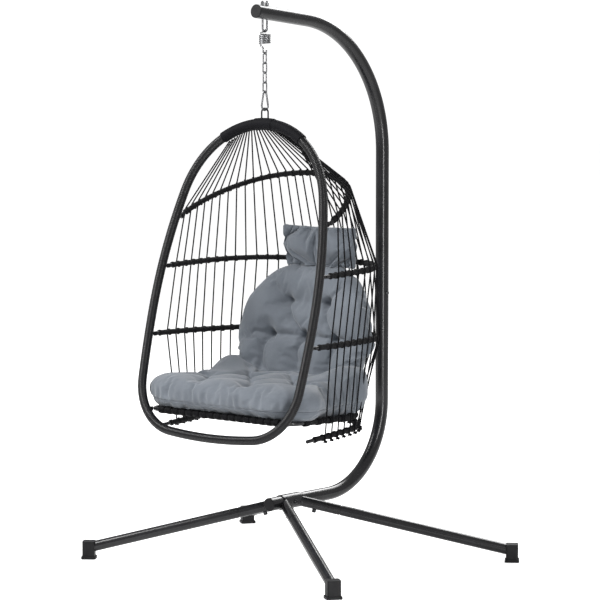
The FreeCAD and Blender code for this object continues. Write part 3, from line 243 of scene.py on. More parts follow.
class MeshMaker:
    """Collects strips of faces and makes one smooth mesh of them."""

    def __init__(self) -> None:
        """Starts with no faces."""
        self.points: list[Vector] = []
        self.faces: list[tuple[int, ...]] = []
        self.marks: list[tuple[float, float]] = []

    def strip(self, rows: Sequence[Sequence[Vector]], lengths: Sequence[float], closed: bool) -> None:
        """Adds a grid of faces.

        Args:
            rows: the grid's rows of points, all as long.
            lengths: how far along the piece each row is, which the finishes read.
            closed: whether each row's last point joins its first.
        """
        base, width = len(self.points), len(rows[0])
        for row, length in zip(rows, lengths):
            self.points.extend(row)
            self.marks.extend((length, index / width) for index in range(width))
        reach = width if closed else width - 1
        for index in range(len(rows) - 1):
            low, high = base + index * width, base + (index + 1) * width
            for column in range(reach):
                after = (column + 1) % width
                self.faces.append((low + column, low + after, high + after, high + column))

    def cap(self, row: Sequence[Vector], centre: Vector) -> None:
        """Closes a round end with a fan of faces.

        Args:
            row: the points round the end.
            centre: the fan's middle point.
        """
        base = len(self.points)
        self.points.extend([*row, centre])
        self.marks.extend([(0.0, 0.0)] * (len(row) + 1))
        for index in range(len(row)):
            self.faces.append((base + index, base + (index + 1) % len(row), base + len(row)))

    def tube(self, stations: Sequence[Station], radius: float, sides: int = 8, lobes: int = 0,
             lay: float = 1.0, depth: float = 0.0) -> None:
        """Adds a round or twisted tube.

        Args:
            stations: the tube's middle line.
            radius: its largest radius.
            sides: how many points go round it.
            lobes: how many strands it shows, or 0 for a plain one.
            lay: the length in which the strands turn once round.
            depth: how deep the valleys between the strands are.
        """
        rows, lengths, travelled = [], [], 0.0
        for index, station in enumerate(stations):
            if index:
                travelled += (station.point - stations[index - 1].point).length
            twist = FULL_TURN * travelled / lay
            row = []
            for side in range(sides):
                angle = FULL_TURN * side / sides
                valley = 0.5 - 0.5 * math.cos(lobes * (angle - twist)) if lobes else 0.0
                row.append(station.around(angle, radius - depth * valley))
            rows.append(row)
            lengths.append(travelled)
        self.strip(rows, lengths, closed=True)
        self.cap(list(reversed(rows[0])), stations[0].point)
        self.cap(rows[-1], stations[-1].point)

    def build(self, name: str) -> bpy.types.Object:
        """Makes the object.

        Args:
            name: the object's name.

        Returns:
            The new object, smooth, with the lengths along it as its UV map.
        """
        mesh = bpy.data.meshes.new(name)
        mesh.from_pydata([tuple(point) for point in self.points], [], self.faces)
        layer = mesh.uv_layers.new(name="lengths")
        flat: list[float] = []
        for loop in mesh.loops:
            flat.extend(self.marks[loop.vertex_index])
        layer.data.foreach_set("uv", flat)
        mesh.shade_smooth()
        made = bpy.data.objects.new(name, mesh)
        bpy.context.scene.collection.objects.link(made)
        return made


@dataclass(frozen=True)
class Winding:
    """How a strand is wound round a tube: its pitch, how proud it stands and how finely it is drawn."""

    pitch: float
    proud: float
    turn_steps: int = 16
    across_steps: int = 4

    def wind(self, maker: MeshMaker, guide: Guide, start: float, end: float, core: float) -> None:
        """Winds the strand round a guide line.

        Args:
            maker: takes the strand's faces.
            guide: the tube's middle line.
            start: the distance along it where the strand starts.
            end: the distance where it ends.
            core: the radius that the strand lies on.
        """
        steps = int((end - start) / self.pitch * self.turn_steps)
        rows, lengths = [], []
        travelled, advance = 0.0, math.hypot(FULL_TURN * core, self.pitch) / self.turn_steps
        for step in range(steps + 1):
            station = guide.at(start + self.pitch * step / self.turn_steps)
            angle = FULL_TURN * step / self.turn_steps
            ramp = min(1.0, (step + 1) / self.turn_steps, (steps - step + 1) / self.turn_steps)
            row = []
            for index in range(self.across_steps + 1):
                tilt = math.pi * (index / self.across_steps - 0.5)
                offset = station.along * (0.5 * self.pitch * math.sin(tilt))
                row.append(station.around(angle, core + self.proud * ramp * math.cos(tilt)) + offset)
            rows.append(row)
            lengths.append(travelled)
            travelled += advance
        maker.strip(rows, lengths, closed=False)


def loop_round(maker: MeshMaker, station: Station, radius: float, thickness: float, turns: float,
               start: float) -> None:
    """Ties a loop of cord round a bar.

    Args:
        maker: takes the loop's faces.
        station: the place on the bar.
        radius: from the bar's middle to the cord's.
        thickness: the cord's diameter.
        turns: how many times it goes round.
        start: the angle where it starts, in radians.
    """
    steps = max(8, round(LOOP_STEPS * turns))
    points = []
    for step in range(steps + 1):
        share = step / steps
        angle = start + FULL_TURN * turns * share
        slide = station.along * (thickness * LOOP_SPACING * turns * (share - 0.5))
        points.append(station.around(angle, radius) + slide)
    maker.tube(carried_stations(points), thickness / 2.0, sides=6)


# ---------------------------------------------------------------- finishes


class Nodes:
    """A small helper that adds and joins shader nodes."""

    def __init__(self, name: str) -> None:
        """Starts an empty material with a surface shader.

        Args:
            name: the material's name.
        """
        self.material = bpy.data.materials.new(name)
        self.material.use_nodes = True
        self.tree = self.material.node_tree
        self.shader = self.tree.nodes["Principled BSDF"]

    def add(self, kind: str, **values: object) -> bpy.types.Node:
        """Adds a node and sets its inputs or properties by name.

        Args:
            kind: the node's type.
            values: its inputs or properties, by name.

        Returns:
            The new node.
        """
        node = self.tree.nodes.new(kind)
        for name, value in values.items():
            label = name.replace("_", " ").title()
            if label in node.inputs:
                node.inputs[label].default_value = value
            else:
                setattr(node, name, value)
        return node

    def join(self, source: Socket, target: Socket) -> None:
        """Joins two sockets."""
        self.tree.links.new(source, target)

    def set_shader(self, **values: object) -> None:
        """Sets constants on the surface shader's own sockets."""
        for name, value in values.items():
            self.shader.inputs[name.replace("_", " ")].default_value = value

    def place(self, worn: bool = False) -> Socket:
        """The object's own coordinates, or its lengths map where the pattern is worn by a strand."""
        return self.add("ShaderNodeTexCoord").outputs["UV" if worn else "Object"]

    def cloud(self, where: Socket, scale: float, detail: float = 3.0) -> Socket:
        """A soft noise pattern.

        Args:
            where: the coordinates that it reads.
            scale: how many patches it has in a metre.
            detail: how much finer structure it shows.

        Returns:
            The pattern.
        """
        texture = self.add("ShaderNodeTexNoise", scale=scale, detail=detail)
        self.join(where, texture.inputs["Vector"])
        return texture.outputs["Fac"]

    def ramp(self, value: Socket, low: float, high: float, start: float, end: float) -> Socket:
        """Carries a value from one range to another.

        Args:
            value: what is carried.
            low: the first range's lower end.
            high: the first range's upper end.
            start: what the lower end becomes.
            end: what the upper end becomes.

        Returns:
            The new value.
        """
        node = self.add("ShaderNodeMapRange")
        for name, number in (("From Min", low), ("From Max", high), ("To Min", start), ("To Max", end)):
            node.inputs[name].default_value = number
        self.join(value, node.inputs["Value"])
        return node.outputs["Result"]

    def spread(self, cloud: Socket, start: float, end: float) -> Socket:
        """Carries a cloud's usual range to another."""
        return self.ramp(cloud, *CLOUD_RANGE, start, end)

    def roughen(self, cloud: Socket, low: float, high: float) -> None:
        """Lets a cloud vary the surface's roughness."""
        self.join(self.spread(cloud, low, high), self.shader.inputs["Roughness"])

    def tint(self, value: Socket, dark: Colour, light: Colour) -> None:
        """Drives the base colour between two colours.

        Args:
            value: the pattern, from 0 to 1.
            dark: the colour at 0.
            light: the colour at 1.
        """
        mix = self.add("ShaderNodeMix", data_type="RGBA")
        self.join(value, mix.inputs["Factor"])
        colours = [socket for socket in mix.inputs if socket.type == "RGBA"]
        colours[0].default_value = (*dark, 1.0)
        colours[1].default_value = (*light, 1.0)
        result = [socket for socket in mix.outputs if socket.type == "RGBA"][0]
        self.join(result, self.shader.inputs["Base Color"])

    def relief(self, layers: Iterable[tuple[Socket, float, float]]) -> None:
        """Adds bumps.

        Args:
            layers: each pattern with its strength and its depth in metres.
        """
        last = None
        for pattern, strength, distance in layers:
            bump = self.add("ShaderNodeBump", strength=strength, distance=distance)
            self.join(pattern, bump.inputs["Height"])
            if last is not None:
                self.join(last, bump.inputs["Normal"])
            last = bump.outputs["Normal"]
        if last is not None:
            self.join(last, self.shader.inputs["Normal"])

    def wave(self, where: Socket, scale: float, direction: str, wobble: float = 0.0) -> Socket:
        """A pattern of even bands across one direction.

        Args:
            where: the coordinates that it reads.
            scale: how close the bands are.
            direction: the axis that they lie across.
            wobble: how much they waver.

        Returns:
            The pattern.
        """
        texture = self.add("ShaderNodeTexWave", scale=scale, distortion=wobble)
        texture.wave_type = "BANDS"
        texture.bands_direction = direction
        texture.wave_profile = "SIN"
        self.join(where, texture.inputs["Vector"])
        return texture.outputs["Fac"]

    def blend(self, first: Socket, second: Socket, operation: str) -> Socket:
        """Combines two values.

        Args:
            first: the first value.
            second: the second value.
            operation: what is done with them.

        Returns:
            The result.
        """
        node = self.add("ShaderNodeMath")
        node.operation = operation
        self.join(first, node.inputs[0])
        self.join(second, node.inputs[1])
        return node.outputs["Value"]


@dataclass(frozen=True)
class PowderCoat:
    """Baked paint on steel tube, with its faint orange peel and a few dull patches."""

    name: str = "graphite_powder_coat"
    dark: Colour = (0.011, 0.011, 0.012)
    light: Colour = (0.016, 0.016, 0.018)
    roughness: float = 0.20
    peel: float = 260.0

    def material(self) -> bpy.types.Material:
        """The finish as a material.

        Returns:
            A new material.
        """
        nodes = Nodes(self.name)
        where = nodes.place()
        broad = nodes.cloud(where, 14.0)
        nodes.tint(nodes.ramp(broad, 0.35, 0.65, 0.0, 1.0), self.dark, self.light)
        nodes.roughen(nodes.cloud(where, 60.0, 5.0), self.roughness - 0.02, self.roughness + 0.04)
        nodes.relief([(nodes.cloud(where, self.peel, 2.0), 0.02, 0.0001)])
        nodes.set_shader(Coat_Weight=0.15, Coat_Roughness=0.20, Specular_IOR_Level=0.42)
        return nodes.material


@dataclass(frozen=True)
class ZincPlate:
    """Bright plated steel, with the drawn wire's faint streaks."""

    name: str = "bright_zinc"
    dark: Colour = (0.13, 0.13, 0.135)
    light: Colour = (0.34, 0.345, 0.355)
    roughness: float = 0.30

    def material(self) -> bpy.types.Material:
        """The finish as a material.

        Returns:
            A new material.
        """
        nodes = Nodes(self.name)
        where = nodes.place()
        patches = nodes.cloud(where, 220.0, 4.0)
        nodes.tint(nodes.spread(patches, 0.0, 1.0), self.dark, self.light)
        nodes.roughen(nodes.cloud(where, 500.0, 3.0), self.roughness - 0.06, self.roughness + 0.12)
        nodes.relief([(nodes.cloud(where, 700.0, 2.0), 0.03, 0.0001)])
        nodes.set_shader(Metallic=1.0)
        return nodes.material


@dataclass(frozen=True)
class MouldedPlastic:
    """Black moulded plastic with a fine spark-eroded grain."""

    name: str = "moulded_black_plastic"
    dark: Colour = (0.004, 0.004, 0.005)
    light: Colour = (0.009, 0.009, 0.010)
    roughness: float = 0.48
    grain: float = 1600.0

    def material(self) -> bpy.types.Material:
        """The finish as a material.

        Returns:
            A new material.
        """
        nodes = Nodes(self.name)
        where = nodes.place()
        grain = nodes.cloud(where, self.grain, 4.0)
        nodes.tint(nodes.ramp(nodes.cloud(where, 40.0), 0.35, 0.65, 0.0, 1.0), self.dark, self.light)
        nodes.roughen(grain, self.roughness - 0.08, self.roughness + 0.10)
        nodes.relief([(grain, 0.35, 0.0003)])
        nodes.set_shader(Specular_IOR_Level=0.28)
        return nodes.material


class Lay(Enum):
    """How the fibres of a strand lie: the slant of their pattern across it."""

    FLAT_WEAVE = 0.0
    TWISTED = 0.35


@dataclass(frozen=True)
class WovenStrand:
    """A wound strand, from a flat plastic weave to a soft fibrous rope."""

    name: str
    dark: Colour
    light: Colour
    roughness: float
    lay: Lay
    fibre: float
    depth: float
    sheen: float
    specular: float

    def material(self) -> bpy.types.Material:
        """The finish as a material.

        Returns:
            A new material.
        """
        nodes = Nodes(self.name)
        where = nodes.place(worn=True)
        split = nodes.add("ShaderNodeSeparateXYZ")
        nodes.join(where, split.inputs["Vector"])
        slant = nodes.add("ShaderNodeMath", operation="MULTIPLY")
        nodes.join(split.outputs["Y"], slant.inputs[0])
        slant.inputs[1].default_value = self.lay.value * self.fibre * 4.0
        shift = nodes.blend(split.outputs["X"], slant.outputs["Value"], "ADD")
        phase = nodes.add("ShaderNodeMath", operation="MULTIPLY")
        nodes.join(shift, phase.inputs[0])
        phase.inputs[1].default_value = FULL_TURN / self.fibre
        wave = nodes.add("ShaderNodeMath", operation="SINE")
        nodes.join(phase.outputs["Value"], wave.inputs[0])
        strands = nodes.ramp(wave.outputs["Value"], -1.0, 1.0, 0.0, 1.0)
        fuzz = nodes.cloud(nodes.place(), 1400.0, 5.0)
        patches = nodes.cloud(nodes.place(), 90.0, 3.0)
        # Painted shade: the same fibre pattern that raises the bump also colours the strand, darker in the
        # dips and lighter on the crests. The patches add the strand's own uneven tone on top.
        painted_dip_shade = nodes.ramp(strands, 0.0, 1.0, 0.15, 0.75)
        patch_shade = nodes.spread(patches, 0.4, 1.1)
        nodes.tint(nodes.blend(painted_dip_shade, patch_shade, "MULTIPLY"), self.dark, self.light)
        nodes.roughen(fuzz, self.roughness - 0.08, self.roughness + 0.10)
        nodes.relief([(strands, 0.55, self.depth), (fuzz, 0.30, self.depth * 0.5)])
        nodes.set_shader(Sheen_Weight=self.sheen, Sheen_Roughness=0.45, Specular_IOR_Level=self.specular)
        return nodes.material


@dataclass(frozen=True)
class CushionCloth:
    """Matt polyester cover cloth with a fine plain weave and soft, worn tones."""

    name: str = "blue_grey_cloth"
    dark: Colour = (0.120, 0.136, 0.158)
    light: Colour = (0.172, 0.192, 0.219)
    thread: float = 0.0012

    def material(self) -> bpy.types.Material:
        """The finish as a material.

        Returns:
            A new material.
        """
        nodes = Nodes(self.name)
        where = nodes.place()
        per_metre = 1.0 / self.thread / 3.0
        warp = nodes.wave(where, per_metre, "X", 0.6)
        weft = nodes.wave(where, per_metre, "Z", 0.6)
        fill = nodes.wave(where, per_metre, "Y", 0.6)
        weave = nodes.blend(nodes.blend(warp, weft, "MULTIPLY"), fill, "ADD")
        broad = nodes.spread(nodes.cloud(where, 9.0, 4.0), 0.1, 0.9)
        fine = nodes.spread(nodes.cloud(where, 260.0, 4.0), -0.12, 0.12)
        nodes.tint(nodes.blend(broad, fine, "ADD"), self.dark, self.light)
        rumple = nodes.cloud(where, 26.0, 4.0)
        fuzz = nodes.cloud(where, 1800.0, 3.0)
        nodes.relief([(rumple, 0.22, 0.006), (weave, 0.16, 0.0004), (fuzz, 0.10, 0.0003)])
        nodes.set_shader(Roughness=0.86, Sheen_Weight=0.28, Sheen_Roughness=0.5, Specular_IOR_Level=0.28)
        return nodes.material


class Finish(Enum):
    """The finishes that this chair shows."""

    FRAME_PAINT = PowderCoat()
    BRIGHT_STEEL = ZincPlate()
    DARK_STEEL = ZincPlate("dark_steel", (0.035, 0.035, 0.037), (0.075, 0.076, 0.080), 0.34)
    CAP_PLASTIC = MouldedPlastic()
    HOOP_WEAVE = WovenStrand("fine_woven_wrap", (0.003, 0.003, 0.004), (0.012, 0.012, 0.013), 0.26,
                             Lay.FLAT_WEAVE, 0.0016, 0.0001, 0.0, 0.36)
    CROWN_WRAP = WovenStrand("crown_webbing", (0.002, 0.002, 0.003), (0.005, 0.005, 0.008), 0.66,
                             Lay.FLAT_WEAVE, 0.0020, 0.0002, 0.02, 0.14)
    RIB_ROPE = WovenStrand("wound_rope", (0.002, 0.002, 0.003), (0.010, 0.010, 0.011), 0.66,
                           Lay.TWISTED, 0.0032, 0.0004, 0.03, 0.24)
    NET_CORD = WovenStrand("black_cord", (0.001, 0.001, 0.002), (0.006, 0.006, 0.007), 0.68,
                           Lay.TWISTED, 0.0022, 0.0002, 0.02, 0.12)
    STRAP = WovenStrand("flat_webbing", (0.002, 0.002, 0.003), (0.008, 0.008, 0.009), 0.70,
                        Lay.FLAT_WEAVE, 0.0030, 0.0002, 0.02, 0.12)
    CUSHION = CushionCloth()

    def material(self) -> bpy.types.Material:
        """The finish's material, made once."""
        found = bpy.data.materials.get(self.value.name)
        return found if found is not None else self.value.material()


def dress(piece: bpy.types.Object, finish: Finish) -> bpy.types.Object:
    """Puts a finish on a piece.

    Args:
        piece: the object to finish.
        finish: which finish it gets.

    Returns:
        The piece.
    """
    piece.data.materials.clear()
    piece.data.materials.append(finish.material())
    LOG.info("%s: %s, %d faces", piece.name, finish.name.lower(), len(piece.data.polygons))
    return piece


def dress_nodes(names: Iterable[str], finish: Finish) -> None:
    """Puts a finish on solid parts by name."""
    for name in names:
        dress(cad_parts[name], finish)


def mount(piece: bpy.types.Object, body: str, *stands_for: str) -> bpy.types.Object:
    """Sets a piece on a body, in the place of some solid parts.

    Args:
        piece: the object.
        body: the body that it moves with.
        stands_for: the solid parts that it replaces.

    Returns:
        The piece.
    """
    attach(piece, body)
    if stands_for:
        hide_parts(*stands_for)
    return piece


# ---------------------------------------------------------------- stand and hanging gear


@dataclass
class Stand:
    """The bent mast, the base hub, the four legs and their caps."""

    painted: tuple[str, ...] = ("mast_lower", "mast_upper", "mast_joint_sleeve", "base_hub", "leg_front_left",
                                "leg_front_right", "leg_rear_left", "leg_rear_right")
    capped: tuple[str, ...] = ("arm_end_cap", "hub_end_cap", "foot_front_left", "foot_front_right",
                               "foot_rear_left", "foot_rear_right")
    bolts: tuple[str, ...] = ("mast_joint_bolt", "hub_bolt", "leg_screws")

    def build(self) -> None:
        """Dresses the stand's solid parts."""
        dress_nodes(self.painted, Finish.FRAME_PAINT)
        dress_nodes(self.capped, Finish.CAP_PLASTIC)
        dress_nodes(self.bolts, Finish.DARK_STEEL)


@dataclass
class HangingGear:
    """The U-bolt, the spring, the four links and the snap clip."""

    bright: tuple[str, ...] = ("u_bolt", "u_bolt_washers", "u_bolt_nuts", "spring_top_hook",
                               "spring_bottom_hook", "chain_link_1", "chain_link_2", "chain_link_3",
                               "chain_link_4", "clip_body", "clip_gate", "clip_gate_pin")

    def build(self) -> None:
        """Dresses the hanging gear's solid parts."""
        dress_nodes(self.bright, Finish.BRIGHT_STEEL)
        dress_nodes(("hanging_eye",), Finish.DARK_STEEL)
        self._stretching_coil()

    def _stretching_coil(self) -> None:
        """Copies the spring's coil into a piece of its own, where it stands, and dresses it in place of the
        solid part.
        """
        coil = bpy.data.objects.new("stretching_coil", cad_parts["spring_coil"].data.copy())
        bpy.context.scene.collection.objects.link(coil)
        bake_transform(coil)
        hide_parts("spring_coil")
        dress(coil, Finish.BRIGHT_STEEL)


# ---------------------------------------------------------------- basket


@dataclass
class Hoop:
    """The oval steel hoop, leaning back, with its woven wrap and the roped crown at its top."""

    top: float = 1.567
    lean: float = 15.2
    half_width: float = 0.373
    rise: float = 0.678
    drop: float = 0.442
    top_angle: float = 76.0
    side_angle: float = 4.0
    corner_angle: float = 80.0
    bottom_radius: float = 1.836
    wrap: float = 0.032
    crown: float = 0.040
    crown_half: float = 0.182
    pad: float = 0.044
    pad_half: float = 0.042
    weave: Winding = Winding(pitch=0.0062, proud=0.0012, turn_steps=18)
    cover: Winding = Winding(pitch=0.0052, proud=0.0007, turn_steps=22)
    band_pitches: float = 1.4
    band_sides: int = 28
    band_profile: tuple[Pair, ...] = ((0.0, -1.0), (0.04, -0.35), (0.2, 0.05), (0.5, 0.18), (0.8, 0.10),
                                       (1.0, 0.0))

    def plane(self) -> Matrix:
        """The hoop's own frame, with its origin at the top of its middle line."""
        return sloping_plane(0.0, self.top, 90.0 - self.lean)

    def arcs(self) -> list[tuple[float, float]]:
        """The hoop's right half from its top.

        Returns:
            Each arc's radius and the angle that it turns.
        """
        top = math.radians(self.top_angle)
        spare = 1.0 - math.sin(top)
        area = math.sin(top) * math.cos(top) - spare * (1.0 - math.cos(top))
        top_radius = (self.half_width * math.cos(top) - spare * self.rise) / area
        shoulder = (self.rise * math.sin(top) - (1.0 - math.cos(top)) * self.half_width) / area
        side = math.radians(self.side_angle)
        corner = side + math.radians(self.corner_angle)
        across = self.half_width - self.bottom_radius * math.cos(corner)
        along = self.drop - self.bottom_radius * (1.0 - math.sin(corner))
        side_across, corner_across = 1.0 - math.cos(side), math.cos(side) - math.cos(corner)
        side_along, corner_along = math.sin(side), math.sin(corner) - math.sin(side)
        area = side_across * corner_along - corner_across * side_along
        side_radius = (across * corner_along - corner_across * along) / area
        corner_radius = (side_across * along - across * side_along) / area
        return [
            (top_radius, self.top_angle),
            (shoulder, 90.0 - self.top_angle),
            (side_radius, self.side_angle),
            (corner_radius, self.corner_angle),
            (self.bottom_radius, 90.0 - self.side_angle - self.corner_angle),
        ]

    def guide(self) -> Guide:
        """The hoop's middle line, all the way round from its top.

        Returns:
            The closed line.
        """
        line = Guide(self.plane(), (0.0, 0.0), 0.0)
        arcs = self.arcs()
        for radius, angle in arcs + arcs[::-1]:
            line.bend(radius, -angle)
        return line

    def at_height(self, height: float) -> tuple[float, float]:
        """Where the hoop's right side passes a height.

        Args:
            height: the height above the floor.

        Returns:
            The hoop's half width there and its distance behind the hanging line.
        """
        lean = math.radians(self.lean)
        goal = (height - self.top) / math.cos(lean)
        across, along, heading = 0.0, 0.0, 0.0
        for radius, angle in self.arcs():
            end = heading + math.radians(angle)
            fall = radius * (math.cos(heading) - math.cos(end))
            if along - fall <= goal:
                turned = math.acos(math.cos(heading) - (along - goal) / radius)
                return across + radius * (math.sin(turned) - math.sin(heading)), goal * math.sin(lean)
            across += radius * (math.sin(end) - math.sin(heading))
            along -= fall
            heading = end
        return across, along * math.sin(lean)

    def clearance(self, slope: float, half_height: float, gap: float) -> float:
        """How far behind the middle line a bar on a sloping plane starts, to clear the wrap."""
        crossing = math.radians(90.0 - self.lean - slope)
        return (self.wrap / 2.0 + gap + half_height * math.cos(crossing)) / math.sin(crossing)

    def crown_guide(self, half_span: float) -> Guide:
        """The middle line of a stretch of crown wrap.

        Args:
            half_span: half the stretch's width.

        Returns:
            Its line, from the left.
        """
        radius = self.arcs()[0][0]
        half_angle = math.degrees(math.asin(half_span / radius))
        start = (-half_span, -radius * (1.0 - math.cos(math.radians(half_angle))))
        return Guide(self.plane(), start, half_angle).bend(radius, -2.0 * half_angle)

    def build(self) -> None:
        """Winds the weave, the crown and its pad."""
        line = self.guide()
        weave = MeshMaker()
        weave_core = self.wrap / 2.0 - self.weave.proud
        self.weave.wind(weave, line, self.pad_half, line.length - self.pad_half, weave_core)
        wrap = mount(weave.build("hoop_weave"), "basket", "hoop_wrap")
        dress(wrap, Finish.HOOP_WEAVE)
        dress(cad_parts["hoop_tube"], Finish.FRAME_PAINT)
        crown = MeshMaker()
        for half_span, diameter in ((self.crown_half, self.crown), (self.pad_half, self.pad)):
            stretch = self.crown_guide(half_span)
            core = diameter / 2.0 - self.cover.proud
            self.cover.wind(crown, stretch, self.cover.pitch, stretch.length - self.cover.pitch, core)
            for end in (0.0, stretch.length):
                self._end_band(crown, stretch, end, core)
        cover = mount(crown.build("crown_cover"), "basket", "crown_wrap")
        dress(cover, Finish.CROWN_WRAP)

    def _end_band(self, maker: MeshMaker, line: Guide, end: float, radius: float) -> None:
        """Turns the cover's end in, with a rounded band that closes on the weave.

        Args:
            maker: takes the band's faces.
            line: the stretch's middle line.
            end: the distance along it of the end that is closed.
            radius: the radius that the cover lies on.
        """
        width = self.band_pitches * self.cover.pitch
        inward = 1.0 if end == 0.0 else -1.0
        rows = []
        for share, rise in self.band_profile:
            station = line.at(end + inward * width * share)
            reach = radius + rise * (radius - self.wrap / 2.0 + self.cover.proud)
            rows.append([station.around(FULL_TURN * side / self.band_sides, reach)
                         for side in range(self.band_sides)])
        maker.strip(rows, [width * index for index in range(len(rows))], closed=True)


@dataclass
class Rib:
    """One U-shaped rib behind the hoop."""

    name: str
    height: float
    depth: float
    slope: float
    side_angle: float
    back_angle: float
    side_radius: float
    first_cord: float
    half_width: float = 0.0
    end_ahead: float = 0.0
    tube: float = 0.013
    wrap: float = 0.0195
    bare_end: float = 0.034
    end_gap: float = 0.0008

    def guide(self, hoop: Hoop) -> Guide:
        """The rib's middle line from its left end to its right.

        Args:
            hoop: the hoop that the rib meets.

        Returns:
            The line.
        """
        half_width, behind, setback = self.half_width, -self.end_ahead, 0.0
        if not half_width:
            half_width, behind = hoop.at_height(self.height)
            setback = hoop.clearance(self.slope, self.tube / 2.0, self.end_gap)
        corner, back = corner_radii(half_width, self.depth - setback, self.side_angle, self.back_angle,
                                    self.side_radius)
        turn = 90.0 - self.side_angle - self.back_angle
        line = Guide(sloping_plane(behind, self.height, self.slope), (-half_width, setback), 90.0)
        line.bend(self.side_radius, -self.side_angle).bend(corner, -turn).bend(back, -2.0 * self.back_angle)
        return line.bend(corner, -turn).bend(self.side_radius, -self.side_angle)

    def crossings(self, line: Guide, count: int) -> list[Station]:
        """Where each cord crosses the rib."""
        step = (line.length - 2.0 * self.first_cord) / (count - 1)
        return [line.at(self.first_cord + index * step) for index in range(count)]


@dataclass
class RibNet:
    """The four roped ribs and the cords that run over them from the crown."""

    hoop: Hoop
    cord_count: int = 34
    cord: float = 0.005
    fibre: float = 0.0004
    fit: float = 0.0002
    crown_half_span: float = 0.168
    tail: float = 0.012
    cord_step: float = 0.004
    strands: int = 3
    strand_lay: float = 0.024
    strand_valley: float = 0.0007
    hitch_turns: float = 1.2
    hitch_shift: float = 0.7
    whipping: float = 0.0042
    whipping_turns: float = 2.2
    whipping_inset: float = 0.004
    whipping_sink: float = 0.0004
    knot_steps: int = 24
    knot_size: float = 0.42
    knot_cord: float = 0.45
    knot_drop: float = 0.001
    rope: Winding = Winding(pitch=0.0062, proud=0.0026, turn_steps=14)
    ribs: tuple[Rib, ...] = (
        Rib("upper", 1.2175, 0.382, 26.2, 4.0, 26.0, 0.540, 0.049),
        Rib("middle", 1.056, 0.479, 1.6, 4.0, 6.0, 3.000, 0.068),
        Rib("lower", 0.818, 0.5435, -0.7, 16.0, 5.0, 1.450, 0.087),
        Rib("bottom", 0.492, 0.407, 4.0, 2.0, 10.0, 6.000, 0.080, half_width=0.335, end_ahead=0.165),
    )
    rows: list[list[Station]] = field(default_factory=list)

    def build(self) -> None:
        """Winds the ribs, runs the cords and ties them."""
        for rib in self.ribs:
            line = rib.guide(self.hoop)
            self.rows.append(rib.crossings(line, self.cord_count))
            self._wind(rib, line)
            dress(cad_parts["%s_rib_tube" % rib.name], Finish.FRAME_PAINT)
        dress_nodes(("frame_lugs", "rib_rivets"), Finish.FRAME_PAINT)
        dress_nodes(("bottom_rib_plugs",), Finish.CAP_PLASTIC)
        self._run_cords()

    def _wind(self, rib: Rib, line: Guide) -> None:
        """Winds the rope round one rib, with whipped ends and a hitch where each cord crosses.

        Args:
            rib: the rib.
            line: its middle line.
        """
        maker = MeshMaker()
        start, end = rib.bare_end, line.length - rib.bare_end
        self.rope.wind(maker, line, start, end, rib.wrap / 2.0 - self.rope.proud)
        hitch_radius = rib.wrap / 2.0 + self.fit
        whipping_radius = rib.wrap / 2.0 - self.whipping_sink
        for place in (start + self.whipping_inset, end - self.whipping_inset):
            loop_round(maker, line.at(place), whipping_radius, self.whipping, self.whipping_turns, 0.0)
        for number, station in enumerate(self.rows[-1]):
            loop_round(maker, station, hitch_radius, self.cord, self.hitch_turns, self.hitch_shift * number)
        rope = mount(maker.build("%s_rib_rope" % rib.name), "basket", "%s_rib_wrap" % rib.name)
        dress(rope, Finish.RIB_ROPE)

    def _start(self, index: int) -> tuple[Station, float]:
        """Where a cord leaves the crown.

        Args:
            index: the cord's number, from the left.

        Returns:
            Its place on the crown's middle line and the crown's radius there.
        """
        across = self.crown_half_span * (2.0 * index / (self.cord_count - 1) - 1.0)
        radius = self.hoop.arcs()[0][0]
        angle = math.asin(across / radius)
        plane = self.hoop.plane()
        turn = plane.to_3x3()
        middle = plane @ Vector((across, radius * (math.cos(angle) - 1.0), 0.0))
        along = turn @ Vector((math.cos(angle), -math.sin(angle), 0.0))
        side = turn @ Vector((math.sin(angle), math.cos(angle), 0.0))
        on_pad = abs(across) < self.hoop.pad_half + self.cord
        return Station(middle, along, side, turn @ UP), (self.hoop.pad if on_pad else self.hoop.crown) / 2.0

    def route(self, index: int) -> list[Vector]:
        """One cord's corners: from the crown, round the outside of each rib, to its tail.

        Args:
            index: the cord's number, from the left.

        Returns:
            Its corners, from the top.
        """
        crown, radius = self._start(index)
        crossings = [row[index] for row in self.rows]
        reach = (self.ribs[0].wrap + self.cord) / 2.0 + self.fit
        corners = [station.point for station in crossings]
        away = (corners[0] - crown.point).normalized()
        fan = abs(away.dot(crown.along))
        toward = (away - crown.along * away.dot(crown.along)).normalized()
        start = crown.point + toward * (radius + self.fit + fan * self.cord / 2.0)
        tail = corners[-1] - UP * self.tail
        for _ in range(5):
            line = [start, *corners, tail]
            corners = []
            for number, station in enumerate(crossings, start=1):
                arrive = (line[number] - line[number - 1]).normalized()
                leave = (line[number + 1] - line[number]).normalized()
                outward = station.along.cross(arrive + leave).normalized()
                corners.append(station.point + outward * reach / math.cos(arrive.angle(leave) / 2.0))
            tail = corners[-1] - UP * self.tail
        return [start, *corners, tail]

    def _rounded(self, corners: Sequence[Vector]) -> list[Vector]:
        """The cord's middle line, bent softly over each rib.

        Args:
            corners: the cord's corners, from the top.

        Returns:
            The line's points.
        """
        radius = (self.ribs[0].wrap + self.cord) / 2.0
        points = [corners[0]]
        for before, corner, after in zip(corners, corners[1:], corners[2:]):
            arrive, leave = (corner - before).normalized(), (after - corner).normalized()
            half_turn = arrive.angle(leave) / 2.0
            back = radius * math.tan(half_turn)
            if back < 1e-5:
                points.append(corner)
                continue
            first = corner - arrive * back
            middle = first + (leave - arrive * leave.dot(arrive)).normalized() * radius
            steps = max(2, round(math.degrees(half_turn) / 8.0))
            for step in range(steps + 1):
                turn = 2.0 * half_turn * step / steps
                points.append(middle + (first - middle) * math.cos(turn) + arrive * (radius * math.sin(turn)))
        return [*points, corners[-1]]

